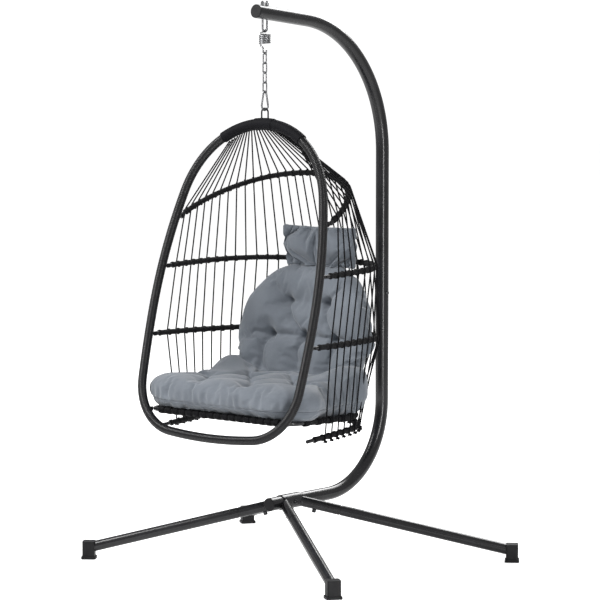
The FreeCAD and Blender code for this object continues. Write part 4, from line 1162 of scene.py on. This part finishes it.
    def _run_cords(self) -> None:
        """Lays the twisted cords and ties a stopper knot on each tail."""
        maker = MeshMaker()
        for index in range(self.cord_count):
            line = spaced(self._rounded(self.route(index)), self.cord_step)
            maker.tube(carried_stations(line), self.cord / 2.0 + self.fibre, sides=3 * self.strands,
                       lobes=self.strands, lay=self.strand_lay, depth=self.strand_valley)
            self._stopper(maker, line[-1], index)
        net = mount(maker.build("twisted_cords"), "basket", "net_cords")
        dress(net, Finish.NET_CORD)

    def _stopper(self, maker: MeshMaker, place: Vector, index: int) -> None:
        """Ties a small overhand knot.

        Args:
            maker: takes the knot's faces.
            place: the cord's end.
            index: the cord's number, which also turns the knot.
        """
        points = []
        for step in range(self.knot_steps + 1):
            turn = FULL_TURN * step / self.knot_steps + index
            across = math.sin(turn) + 2.0 * math.sin(2.0 * turn)
            deep = math.cos(turn) - 2.0 * math.cos(2.0 * turn)
            swing = Vector((across, deep, -1.3 * math.sin(3.0 * turn)))
            points.append(place + swing * (self.cord * self.knot_size) - UP * self.knot_drop)
        maker.tube(carried_stations(points), self.cord * self.knot_cord, sides=6)


def spaced(points: Sequence[Vector], step: float) -> list[Vector]:
    """The same line with points about a step apart.

    Args:
        points: the line's own points.
        step: the wanted distance.

    Returns:
        The even points, ends kept.
    """
    lengths = [0.0]
    for before, after in zip(points, points[1:]):
        lengths.append(lengths[-1] + (after - before).length)
    count = max(2, round(lengths[-1] / step) + 1)
    found, piece = [], 0
    for index in range(count):
        goal = lengths[-1] * index / (count - 1)
        while piece < len(points) - 2 and lengths[piece + 1] < goal:
            piece += 1
        span = max(lengths[piece + 1] - lengths[piece], 1e-9)
        found.append(points[piece].lerp(points[piece + 1], min(1.0, (goal - lengths[piece]) / span)))
    return found


@dataclass
class SeatRing:
    """The roped seat ring, its front bar and the webbing straps across it."""

    hoop: Hoop
    height: float = 0.560
    depth: float = 0.509
    slope: float = -1.7
    side_angle: float = 5.0
    back_angle: float = 4.0
    side_radius: float = 3.0
    half_width: float = 0.328
    setback: float = 0.029
    corner: float = 0.045
    wrap: float = 0.022
    wrap_start: float = 0.030
    strap_width: float = 0.036
    strap_thickness: float = 0.002
    strap_pitch: float = 0.9
    band_half: float = 0.36
    band_sides: int = 20
    band_profile: tuple[Pair, ...] = ((-1.0, -0.0022), (-0.96, 0.0), (-0.5, 0.0006), (0.0, 0.0009),
                                       (0.5, 0.0006), (0.96, 0.0), (1.0, -0.0022))
    rope: Winding = Winding(pitch=0.0075, proud=0.0026, turn_steps=14)

    def plane(self) -> Matrix:
        """The ring's plane."""
        return sloping_plane(self.hoop.at_height(self.height)[1], self.height, self.slope)

    def rear_guide(self) -> Guide:
        """The U behind the hoop, from its left end to its right.

        Returns:
            The line.
        """
        depth = self.depth - self.setback - self.corner
        corner, back = corner_radii(self.half_width, depth, self.side_angle, self.back_angle,
                                    self.side_radius)
        turn = 90.0 - self.side_angle - self.back_angle
        line = Guide(self.plane(), (-self.half_width, self.setback + self.corner), 90.0)
        line.bend(self.side_radius, -self.side_angle).bend(corner, -turn).bend(back, -2.0 * self.back_angle)
        return line.bend(corner, -turn).bend(self.side_radius, -self.side_angle)

    def front_guide(self) -> Guide:
        """The straight front bar, between its corners."""
        half = self.half_width - self.corner
        return Guide(self.plane(), (-half, self.setback), 0.0).run(2.0 * half)

    def build(self) -> None:
        """Winds the ring and dresses the straps."""
        for name, line, trim in (("seat_ring_rope", self.rear_guide(), self.wrap_start),
                                 ("seat_front_rope", self.front_guide(), self.strap_thickness)):
            maker = MeshMaker()
            self.rope.wind(maker, line, trim, line.length - trim, self.wrap / 2.0 - self.rope.proud)
            stands_for = "seat_frame_wrap" if name == "seat_ring_rope" else "seat_front_wrap"
            rope = mount(maker.build(name), "basket", stands_for)
            dress(rope, Finish.RIB_ROPE)
        dress(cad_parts["seat_frame"], Finish.FRAME_PAINT)
        self._strap_loops()
        dress(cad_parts["seat_straps"], Finish.STRAP)

    def _strap_loops(self) -> None:
        """Folds a webbing loop round the ring at each strap's end."""
        maker = MeshMaker()
        front = self.front_guide()
        pitch = self.strap_pitch * self.strap_width
        count = int(front.length // pitch)
        for index in range(count):
            self._band(maker, front, front.length * (index + 0.5) / count)
        rear = self.rear_guide()
        count = int(rear.length // (2.0 * pitch))
        for index in range(count):
            self._band(maker, rear, rear.length * (index + 0.5) / count)
        loops = mount(maker.build("strap_loops"), "basket")
        dress(loops, Finish.STRAP)

    def _band(self, maker: MeshMaker, line: Guide, place: float) -> None:
        """Folds one band of webbing round the bar.

        Args:
            maker: takes the band's faces.
            line: the bar's middle line.
            place: how far along it the band is.
        """
        half = self.strap_width * self.band_half
        radius = self.wrap / 2.0 + self.strap_thickness * 0.8
        rows = []
        for share, rise in self.band_profile:
            station = line.at(min(max(place + half * share, 0.0), line.length))
            rows.append([station.around(FULL_TURN * side / self.band_sides, radius + rise)
                         for side in range(self.band_sides)])
        maker.strip(rows, [self.strap_width * index / 6 for index in range(7)], closed=True)


# ---------------------------------------------------------------- soft parts


@dataclass(frozen=True)
class Fade:
    """A smooth step from 0 to 1: where it starts and how long it is, below 0 where it runs down."""

    start: float
    length: float

    def at(self, value: float) -> float:
        """The step's height at a value."""
        share = min(1.0, max(0.0, (value - self.start) / self.length))
        return share * share * (3.0 - 2.0 * share)


@dataclass(frozen=True)
class Pull:
    """A stitch that draws the cover in: its place, its way, how deep and how wide it works."""

    place: Vector
    way: Vector
    depth: float
    spread: float
    grip: float

    @classmethod
    def onto(cls, tree: BVHTree, start: Vector, way: Vector, depth: float, spread: float,
             grip: float) -> "Pull | None":
        """A stitch where a straight line meets the cover.

        Args:
            tree: the cover's surface.
            start: a point outside the cover.
            way: the line's direction, which is also the pull's.
            depth: how far the cover is drawn in.
            spread: how wide the dimple is.
            grip: the radius that the stitch holds.

        Returns:
            The stitch, or None where the line misses.
        """
        hit = tree.ray_cast(start, way)[0]
        return None if hit is None else cls(hit, way, depth, spread, grip)

    def share(self, place: Vector, normal: Vector) -> float:
        """How much of its depth the stitch gives to a point.

        Args:
            place: the point.
            normal: the cover's outward direction there.

        Returns:
            The share, from 0 to 1.
        """
        away = (place - self.place).length
        if away > PULL_REACH * self.spread or normal.dot(self.way) > PULL_FACING:
            return 0.0
        return math.exp(-((away / self.spread) ** 2))


@dataclass(frozen=True)
class Inflation:
    """How a cover is blown up over its stuffing."""

    pressure: float
    slack: float
    most: float
    frames: int = 20
    quality: int = 6
    mass: float = 0.25
    stiffness: float = 18.0
    shear: float = 6.0
    bending: float = 0.6
    damping: float = 1.0

    def fill(self, piece: bpy.types.Object, held: Sequence[float]) -> None:
        """Blows the piece up and keeps the result.

        Args:
            piece: the closed cover.
            held: how firmly each of its points stays put, from 0 to 1.
        """
        group = piece.vertex_groups.new(name="held")
        for index, weight in enumerate(held):
            if weight > 0.0:
                group.add([index], weight, "REPLACE")
        cloth = piece.modifiers.new("cover", "CLOTH")
        settings = cloth.settings
        settings.quality = self.quality
        settings.mass = self.mass
        settings.tension_stiffness = self.stiffness
        settings.compression_stiffness = self.stiffness
        settings.shear_stiffness = self.shear
        settings.bending_stiffness = self.bending
        settings.air_damping = self.damping
        settings.use_pressure = True
        settings.uniform_pressure_force = self.pressure
        settings.shrink_min = -self.slack
        settings.vertex_group_mass = "held"
        settings.pin_stiffness = 1.0
        settings.effector_weights.gravity = 0.0
        cloth.point_cache.frame_start = 1
        cloth.point_cache.frame_end = self.frames
        scene = bpy.context.scene
        for number in range(1, self.frames + 1):
            scene.frame_set(number)
        blown = piece.evaluated_get(bpy.context.evaluated_depsgraph_get()).data
        before = [vertex.co.copy() for vertex in piece.data.vertices]
        after = [vertex.co.copy() for vertex in blown.vertices]
        piece.modifiers.remove(cloth)
        piece.vertex_groups.clear()
        scene.frame_set(1)
        moved = []
        for start, end in zip(before, after):
            move = end - start
            if move.length > self.most:
                move.length = self.most
            moved.append(start + move)
        move_points(piece, moved)


def remeshed(name: str, source: bpy.types.Object, voxel: float) -> bpy.types.Object:
    """An even copy of a solid part's surface.

    Args:
        name: the new object's name.
        source: the solid part.
        voxel: the size of the new faces.

    Returns:
        The new object.
    """
    made = bpy.data.objects.new(name, source.data.copy())
    made.data.materials.clear()
    bpy.context.scene.collection.objects.link(made)
    apply(made, "REMESH", mode="VOXEL", voxel_size=voxel)
    return made


def apply(piece: bpy.types.Object, kind: str, **values: object) -> None:
    """Adds a modifier with its values and keeps its result.

    Args:
        piece: the object that it changes.
        kind: the modifier's type.
        values: its settings, by name.
    """
    modifier = piece.modifiers.new("step", kind)
    for name, value in values.items():
        setattr(modifier, name, value)
    result = bpy.data.meshes.new_from_object(piece.evaluated_get(bpy.context.evaluated_depsgraph_get()))
    piece.modifiers.clear()
    old = piece.data
    piece.data = result
    bpy.data.meshes.remove(old)
    result.name = piece.name


def skin_points(piece: bpy.types.Object) -> list[tuple[Vector, Vector]]:
    """Each point of the piece's mesh with its normal, read before anything moves."""
    return [(vertex.co.copy(), vertex.normal.copy()) for vertex in piece.data.vertices]


def move_points(piece: bpy.types.Object, points: Sequence[Vector]) -> None:
    """Puts the piece's points in new places."""
    piece.data.vertices.foreach_set("co", [value for point in points for value in point])
    piece.data.update()


def surface(piece: bpy.types.Object) -> BVHTree:
    """A tree to look up the piece's surface.

    Args:
        piece: the object.

    Returns:
        The tree.
    """
    shape = bmesh.new()
    shape.from_mesh(piece.data)
    tree = BVHTree.FromBMesh(shape)
    shape.free()
    return tree


def smoothed(piece: bpy.types.Object, factor: float, times: int) -> None:
    """Evens out the piece's surface."""
    apply(piece, "SMOOTH", factor=factor, iterations=times)


@dataclass
class SeatCushion:
    """The one-piece cushion: a stuffed seat that rolls up into a tufted back."""

    voxel: float = 0.0065
    inset: float = 0.006
    seam_height: float = 0.596
    seam_pull: float = 0.007
    back_top: float = 1.065
    back_half: float = 0.285
    back_corner: float = 0.190
    back_rear: float = 0.088
    back_bend: float = 0.900
    back_base: float = 0.619
    back_lean: float = 8.0
    edge_width: float = 0.130
    edge_share: float = 0.34
    back_rises: Fade = Fade(0.67, 0.05)
    back_starts: Fade = Fade(-0.09, 0.03)
    rim_lift: float = 0.068
    rim_rear: Fade = Fade(-0.20, 0.22)
    rim_side: Fade = Fade(0.13, 0.14)
    rim_foot: Fade = Fade(0.58, 0.05)
    rim_top: Fade = Fade(0.86, -0.22)
    flare: float = 0.13
    flare_top: Fade = Fade(0.93, -0.26)
    flare_rear: Fade = Fade(-0.10, 0.12)
    top_narrowing: float = 0.26
    narrow_from: float = 0.865
    narrow_span: float = 0.17
    front_spread: float = 0.16
    front_reach: Fade = Fade(-0.20, -0.16)
    front_top: Fade = Fade(0.72, -0.04)
    extra_lean: float = 3.0
    lean_from: float = 0.70
    tuft_depth: float = 0.036
    tuft_spread: float = 0.019
    tuft_grip: float = 0.009
    crease_depth: float = 0.012
    crease_spread: float = 0.010
    crease_grip: float = 0.004
    crease_hold: float = 0.4
    crease_step: float = 0.008
    seat_crease_share: float = 0.7
    seat_crease_spread: float = 0.011
    thread_start: float = 0.6
    thread_top: float = 0.85
    seam_hold: float = 0.9
    seam_width: float = 0.005
    seam_reach: float = 0.06
    seam_facing: float = 0.8
    pleat_depth: float = 0.0054
    pleat_pitch: float = 0.031
    pleat_radius: float = 0.34
    pleat_centre: float = 0.10
    pleat_front: float = -0.05
    pleat_fade: float = 0.12
    pleat_below: float = 0.03
    pleat_top: float = 0.72
    pleat_height: float = 0.05
    piping: float = 0.0022
    piping_centre: float = -0.20
    piping_reach: float = 0.75
    piping_start: float = -205.0
    piping_sweep: float = 230.0
    piping_steps: int = 240
    back_tufts: tuple[Pair, ...] = ((-0.090, 0.922), (0.090, 0.922), (-0.150, 0.800),
                                                   (0.0, 0.800), (0.150, 0.800))
    seat_tufts: tuple[Pair, ...] = ((-0.105, -0.360), (0.105, -0.360), (-0.205, -0.245),
                                                   (0.0, -0.245), (0.205, -0.245), (-0.105, -0.125),
                                                   (0.105, -0.125))
    back_creases: tuple[tuple[Pair, ...], ...] = (
        ((-0.205, 0.806), (-0.150, 0.800), (0.0, 0.800), (0.150, 0.800), (0.205, 0.806)),
        ((-0.090, 0.922), (0.090, 0.922)),
        ((-0.150, 0.975), (-0.090, 0.922), (-0.060, 0.860), (0.0, 0.800)),
        ((0.150, 0.975), (0.090, 0.922), (0.105, 0.860), (0.150, 0.800)),
        ((-0.150, 0.800), (-0.172, 0.745), (-0.168, 0.670)),
        ((0.0, 0.800), (-0.020, 0.745), (-0.014, 0.670)),
        ((0.150, 0.800), (0.148, 0.745), (0.140, 0.670)),
    )
    seat_creases: tuple[tuple[Pair, ...], ...] = (
        ((-0.270, -0.330), (-0.205, -0.245), (-0.105, -0.125), (0.0, -0.040)),
        ((-0.105, -0.360), (0.0, -0.245), (0.105, -0.125), (0.190, -0.050)),
        ((0.105, -0.360), (0.205, -0.245), (0.280, -0.150)),
        ((0.270, -0.330), (0.205, -0.245), (0.105, -0.125), (0.0, -0.040)),
        ((0.105, -0.360), (0.0, -0.245), (-0.105, -0.125), (-0.190, -0.050)),
        ((-0.105, -0.360), (-0.205, -0.245), (-0.280, -0.150)),
    )
    filling: Inflation = Inflation(pressure=4.5, slack=0.05, most=0.020)

    def build(self) -> None:
        """Sews, stuffs, tufts and pipes the cushion."""
        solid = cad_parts["seat_cushion"]
        cover = remeshed("tufted_cushion", solid, self.voxel)
        self._shape(cover)
        smoothed(cover, 0.8, 16)
        apply(cover, "DISPLACE", strength=-self.inset, mid_level=0.0)
        held = self._pull_in(cover)
        self.filling.fill(cover, held)
        self._gather(cover)
        smoothed(cover, 0.3, 1)
        apply(cover, "SUBSURF", levels=1)
        cover.data.shade_smooth()
        mount(cover, "basket", "seat_cushion")
        dress(cover, Finish.CUSHION)
        self._pipe(cover)

    def _half_width(self, height: float) -> float:
        """Half the back's width at a height.

        Args:
            height: the height above the floor.

        Returns:
            The half width.
        """
        below = self.back_top - height
        if below >= self.back_corner:
            return self.back_half
        rise = max(0.0, 1.0 - (1.0 - max(below, 0.0) / self.back_corner) ** 2)
        return self.back_half - self.back_corner * (1.0 - math.sqrt(rise))

    def _shape(self, cover: bpy.types.Object) -> None:
        """Crowns the back, thins its edges and lifts the seat's rim into it.

        Args:
            cover: the cushion's cover, before it is stuffed.
        """
        lean = math.tan(math.radians(self.back_lean))
        more_lean = math.tan(math.radians(self.extra_lean))
        moved = []
        for place, _ in skin_points(cover):
            width = abs(place.x)
            rear = self.back_rear - width * width / (2.0 * self.back_bend) + (place.z - self.back_base) * lean
            on_back = self.back_rises.at(place.z) * self.back_starts.at(place.y)
            edge = min(self._half_width(place.z) - width, self.back_top - place.z)
            inside = min(1.0, max(0.0, edge / self.edge_width))
            thin = self.edge_share + (1.0 - self.edge_share) * math.sqrt(1.0 - (1.0 - inside) ** 2)
            depth = (rear - place.y) * (1.0 - on_back * (1.0 - thin))
            front = self.front_reach.at(place.y) * self.front_top.at(place.z)
            flare = 1.0 + self.flare * self.flare_top.at(place.z) * self.flare_rear.at(place.y)
            flare *= 1.0 + self.front_spread * front
            flare *= 1.0 - self.top_narrowing * (max(0.0, place.z - self.narrow_from) / self.narrow_span) ** 2
            back_shift = more_lean * max(0.0, place.z - self.lean_from)
            lift = self.rim_lift * self.rim_rear.at(place.y) * self.rim_side.at(width)
            lift *= self.rim_foot.at(place.z) * self.rim_top.at(place.z)
            moved.append(Vector((place.x * flare, rear - depth + back_shift, place.z + lift)))
        move_points(cover, moved)

    def _threads(self, tree: BVHTree) -> list[Pull]:
        """Where each tuft's thread meets the cover, and how it pulls.

        Args:
            tree: the cover's surface.

        Returns:
            A pull for each end of a thread that meets the cover.
        """
        ways = []
        for x, z in self.back_tufts:
            for sign in (1.0, -1.0):
                ways.append((Vector((x, -sign * self.thread_start, z)), Vector((0.0, sign, 0.0))))
        ways.extend((Vector((x, y, self.thread_top)), DOWN) for x, y in self.seat_tufts)
        found = [Pull.onto(tree, start, way, self.tuft_depth, self.tuft_spread, self.tuft_grip)
                 for start, way in ways]
        return [pull for pull in found if pull is not None]

    def _folds(self, tree: BVHTree) -> list[Pull]:
        """Pulls set close together along each crease.

        Args:
            tree: the cover's surface.

        Returns:
            The pulls, crease by crease.
        """
        found = []
        for crease in self.back_creases:
            corners = [Vector((x, -self.thread_start, z)) for x, z in crease]
            for place in spaced(corners, self.crease_step):
                found.append(Pull.onto(tree, place, BACKWARDS, self.crease_depth, self.crease_spread,
                                       self.crease_grip))
        seat_depth = self.crease_depth * self.seat_crease_share
        for crease in self.seat_creases:
            corners = [Vector((x, y, self.thread_top)) for x, y in crease]
            for place in spaced(corners, self.crease_step):
                found.append(Pull.onto(tree, place, DOWN, seat_depth, self.seat_crease_spread, 0.0))
        return [pull for pull in found if pull is not None]

    def _pull_in(self, cover: bpy.types.Object) -> list[float]:
        """Pulls the tufts, creases and the seam in.

        Args:
            cover: the cushion's cover, before it is stuffed.

        Returns:
            How firmly each of its points is held.
        """
        tree = surface(cover)
        threads, folds = self._threads(tree), self._folds(tree)
        held, moved = [], []
        for start, normal in skin_points(cover):
            move, grip = Vector(), 0.0
            for pull in threads:
                share = pull.share(start, normal)
                move += pull.way * (pull.depth * share)
                grip = max(grip, 1.0 if share and (start - pull.place).length < pull.grip else 0.0)
            deepest, fold_move = 0.0, Vector()
            for pull in folds:
                share = pull.share(start, normal)
                if share > deepest:
                    deepest, fold_move = share, pull.way * (pull.depth * share)
                    grip = max(grip, self.crease_hold if (start - pull.place).length < pull.grip else 0.0)
            seam = self._seam_grip(start, normal)
            held.append(max(grip, seam))
            moved.append(start + move + fold_move - normal * (self.seam_pull * seam))
        move_points(cover, moved)
        return held

    def _seam_grip(self, place: Vector, normal: Vector) -> float:
        """How firmly the seam round the seat holds a point.

        Args:
            place: the point.
            normal: the cover's outward direction there.

        Returns:
            The hold, from 0 to 1.
        """
        on_edge = abs(normal.z) < self.seam_facing and place.z < self.seam_height + self.seam_reach
        away = (place.z - self.seam_height) / self.seam_width
        return self.seam_hold * math.exp(-(away ** 2)) if on_edge else 0.0

    def _gather(self, cover: bpy.types.Object) -> None:
        """Gathers the seat's rolled front edge into small pleats above its seam.

        Args:
            cover: the stuffed cover.
        """
        moved = []
        lowest = self.seam_height - self.pleat_below
        for place, normal in skin_points(cover):
            if place.y > self.pleat_front or place.z < lowest or place.z > self.pleat_top:
                moved.append(place)
                continue
            turn = math.atan2(place.x, -(place.y + self.pleat_centre))
            travel = turn * self.pleat_radius
            warp = noise.noise(Vector((travel * 9.0, 3.0, place.z * 2.0))) * 0.012
            wave = math.sin(FULL_TURN * (travel + warp) / self.pleat_pitch)
            strength = 0.5 + 0.5 * noise.noise(Vector((travel * 7.0, 0.0, 1.0)))
            rise = (place.z - self.seam_height) / self.pleat_height
            round_front = min(1.0, max(0.0, (self.pleat_front - place.y) / self.pleat_fade))
            fade = math.exp(-((rise - 0.45) / 0.55) ** 2) * round_front
            edge = max(0.0, 1.0 - abs(normal.z)) ** 0.35
            moved.append(place + normal * (self.pleat_depth * strength * wave * fade * edge))
        move_points(cover, moved)

    def _pipe(self, cover: bpy.types.Object) -> None:
        """Runs the stitched seam round the seat's edge.

        Args:
            cover: the finished cover.
        """
        tree = surface(cover)
        centre = Vector((0.0, self.piping_centre, self.seam_height))
        line = []
        for step in range(self.piping_steps + 1):
            angle = math.radians(self.piping_start + self.piping_sweep * step / self.piping_steps)
            way = Vector((math.cos(angle), math.sin(angle), 0.0))
            hit = tree.ray_cast(centre + way * self.piping_reach, -way)[0]
            if hit is not None:
                line.append(hit)
        maker = MeshMaker()
        maker.tube(carried_stations(spaced(line, 0.004)), self.piping, sides=8)
        piping = mount(maker.build("seat_piping"), "basket")
        dress(piping, Finish.CUSHION)


@dataclass
class HeadPillow:
    """The small knife-edged pillow that sits on the back."""

    cells: tuple[int, int] = (54, 26)
    start_thickness: float = 0.010
    lean: float = 8.0
    tip_forward: float = 13.0
    bow: float = -0.035
    taper: float = 0.07
    shift: tuple[float, float, float] = (0.018, 0.026, -0.011)
    depth_share: float = 0.95
    height_share: float = 1.06
    quick_swell: float = 0.036
    filling: Inflation = Inflation(pressure=9.0, slack=0.09, most=0.060, frames=24)

    def build(self) -> None:
        """Sews two panels edge to edge and stuffs them."""
        low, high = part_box("head_pillow")
        centre = (low + high) / 2.0
        size = high - low
        lean = math.radians(self.lean)
        height = (size.z - size.y * math.sin(lean)) / math.cos(lean)
        pillow = self._panels("stuffed_pillow", size.x, height)
        held = [1.0 if abs(vertex.co.y) < SEAM_TOLERANCE else 0.0 for vertex in pillow.data.vertices]
        self.filling.fill(pillow, held)
        apply(pillow, "SUBSURF", levels=1)
        pillow.data.shade_smooth()
        self._fit(pillow, Vector((size.x, size.y * self.depth_share, height * self.height_share)))
        move = Matrix.Translation(centre + Vector(self.shift))
        tip = Matrix.Rotation(math.radians(self.tip_forward) - lean, 4, "X")
        pillow.data.transform(move @ tip)
        mount(pillow, "basket", "head_pillow")
        dress(pillow, Finish.CUSHION)

    def _panels(self, name: str, width: float, height: float) -> bpy.types.Object:
        """Two flat panels joined all round their edges.

        Args:
            name: the new object's name.
            width: the panels' width.
            height: their height.

        Returns:
            The empty cover.
        """
        maker = MeshMaker()
        columns, rows = self.cells
        for sign in (1.0, -1.0):
            grid = []
            for row in range(rows + 1):
                rise = row / rows - 0.5
                span = []
                for column in range(columns + 1):
                    across = column / columns - 0.5
                    swell = 1.0 + self.bow * (1.0 - 4.0 * across * across)
                    stretch = 1.0 + 0.5 * self.bow * (1.0 - 4.0 * rise * rise) + self.taper * rise
                    span.append(Vector((sign * width * across * stretch, -sign * self.start_thickness / 2.0,
                                        height * rise * swell)))
                grid.append(span)
            maker.strip(grid, [0.0] * len(grid), closed=False)
        pillow = maker.build(name)
        self._sew(pillow)
        return pillow

    def _sew(self, pillow: bpy.types.Object) -> None:
        """Brings the panels' edges together and joins them.

        Args:
            pillow: the two panels.
        """
        shape = bmesh.new()
        shape.from_mesh(pillow.data)
        for vertex in shape.verts:
            if vertex.is_boundary:
                vertex.co.y = 0.0
        bmesh.ops.remove_doubles(shape, verts=shape.verts, dist=0.0004)
        bmesh.ops.recalc_face_normals(shape, faces=shape.faces)
        shape.to_mesh(pillow.data)
        shape.free()

    def _fit(self, pillow: bpy.types.Object, size: Vector) -> None:
        """Scales the stuffed pillow to its size.

        Args:
            pillow: the stuffed pillow.
            size: its width, depth and height.
        """
        points = [vertex.co for vertex in pillow.data.vertices]
        low = Vector(tuple(min(point[axis] for point in points) for axis in range(3)))
        high = Vector(tuple(max(point[axis] for point in points) for axis in range(3)))
        for vertex in pillow.data.vertices:
            for axis in range(3):
                share = (vertex.co[axis] - low[axis]) / (high[axis] - low[axis]) - 0.5
                vertex.co[axis] = share * size[axis]


# ---------------------------------------------------------------- studio


@dataclass(frozen=True)
class LightPanel:
    """A soft rectangular light: its place, its size and its power in watts."""

    name: str
    place: tuple[float, float, float]
    width: float
    height: float
    power: float


@dataclass
class Studio:
    """The pale floor, the soft lights and the camera."""

    target: tuple[float, float, float] = (0.0939, -0.0891, 0.947)
    camera: tuple[float, float, float] = (6.754, -7.958, 1.942)
    lens: float = 176.2
    floor_size: float = 60.0
    floor_cells: int = 8
    floor_drop: float = 0.0005
    fill_light: float = 0.40
    white: float = 1.1
    floor_glow: float = 0.68
    panels: tuple[LightPanel, ...] = (
        LightPanel("key", (-2.6, -3.6, 5.0), 2.6, 2.6, 390.0),
        LightPanel("side", (4.7, -2.1, 1.4), 0.4, 3.4, 110.0),
        LightPanel("rear", (-1.0, 4.5, 4.6), 3.0, 3.0, 230.0),
    )

    def build(self) -> None:
        """Sets up the floor, the lights, the world and the camera."""
        self._floor()
        for panel in self.panels:
            self._light(panel)
        self._world()
        self._camera()

    def _floor(self) -> None:
        """A wide pale floor."""
        maker = MeshMaker()
        half = self.floor_size / 2.0
        marks = [half * (2 * index / self.floor_cells - 1) for index in range(self.floor_cells + 1)]
        rows = [[Vector((x, y, -self.floor_drop)) for x in marks] for y in marks]
        maker.strip(rows, [0.0] * len(rows), closed=False)
        floor = maker.build("floor")
        nodes = Nodes("pale_floor")
        tone = nodes.cloud(nodes.place(), 0.6, 2.0)
        nodes.tint(nodes.spread(tone, 0.0, 1.0), (0.86, 0.86, 0.86), (0.90, 0.90, 0.90))
        nodes.set_shader(Roughness=0.9, Specular_IOR_Level=0.1)
        seen = nodes.add("ShaderNodeLightPath")
        glow = nodes.ramp(seen.outputs["Is Camera Ray"], 0.0, 1.0, 0.0, self.floor_glow)
        nodes.shader.inputs["Emission Color"].default_value = (1.0, 1.0, 1.0, 1.0)
        nodes.join(glow, nodes.shader.inputs["Emission Strength"])
        floor.data.materials.append(nodes.material)

    def _light(self, panel: LightPanel) -> None:
        """Sets up a light panel that looks at the chair.

        Args:
            panel: the panel's place, size and power.
        """
        lamp = bpy.data.lights.new(panel.name, "AREA")
        lamp.shape = "RECTANGLE"
        lamp.size = panel.width
        lamp.size_y = panel.height
        lamp.energy = panel.power
        self._aim(bpy.data.objects.new(panel.name, lamp), panel.place)

    def _aim(self, piece: bpy.types.Object, place: tuple[float, float, float]) -> None:
        """Stands a light or the camera at a place and turns it to the chair.

        Args:
            piece: the light's or the camera's object.
            place: where it stands.
        """
        bpy.context.scene.collection.objects.link(piece)
        piece.location = place
        piece.rotation_euler = (Vector(self.target) - Vector(place)).to_track_quat("-Z", "Y").to_euler()

    def _world(self) -> None:
        """An even white surround."""
        world = bpy.data.worlds.new("surround")
        world.use_nodes = True
        tree = world.node_tree
        surround = tree.nodes["Background"]
        surround.inputs["Color"].default_value = (1.0, 1.0, 1.0, 1.0)
        seen = tree.nodes.new("ShaderNodeLightPath")
        level = tree.nodes.new("ShaderNodeMapRange")
        level.inputs["To Min"].default_value = self.fill_light
        level.inputs["To Max"].default_value = self.white
        tree.links.new(seen.outputs["Is Camera Ray"], level.inputs["Value"])
        tree.links.new(level.outputs["Result"], surround.inputs["Strength"])
        bpy.context.scene.world = world
        bpy.context.scene.view_settings.view_transform = "Standard"

    def _camera(self) -> None:
        """The camera, at eye height in front of the chair's right side."""
        lens = bpy.data.cameras.new("camera")
        lens.lens = self.lens
        lens.clip_end = 200.0
        camera = bpy.data.objects.new("camera", lens)
        self._aim(camera, self.camera)
        bpy.context.scene.camera = camera


def main() -> None:
    """Builds the chair, piece by piece, and its studio."""
    logging.basicConfig(level=logging.INFO, format="%(name)s: %(message)s")
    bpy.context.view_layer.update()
    hoop = Hoop()
    for assembly in (Studio(), Stand(), HangingGear(), hoop, RibNet(hoop), SeatRing(hoop), SeatCushion(),
                     HeadPillow()):
        assembly.build()
    bpy.context.view_layer.update()


if __name__ == "__main__":
    main()
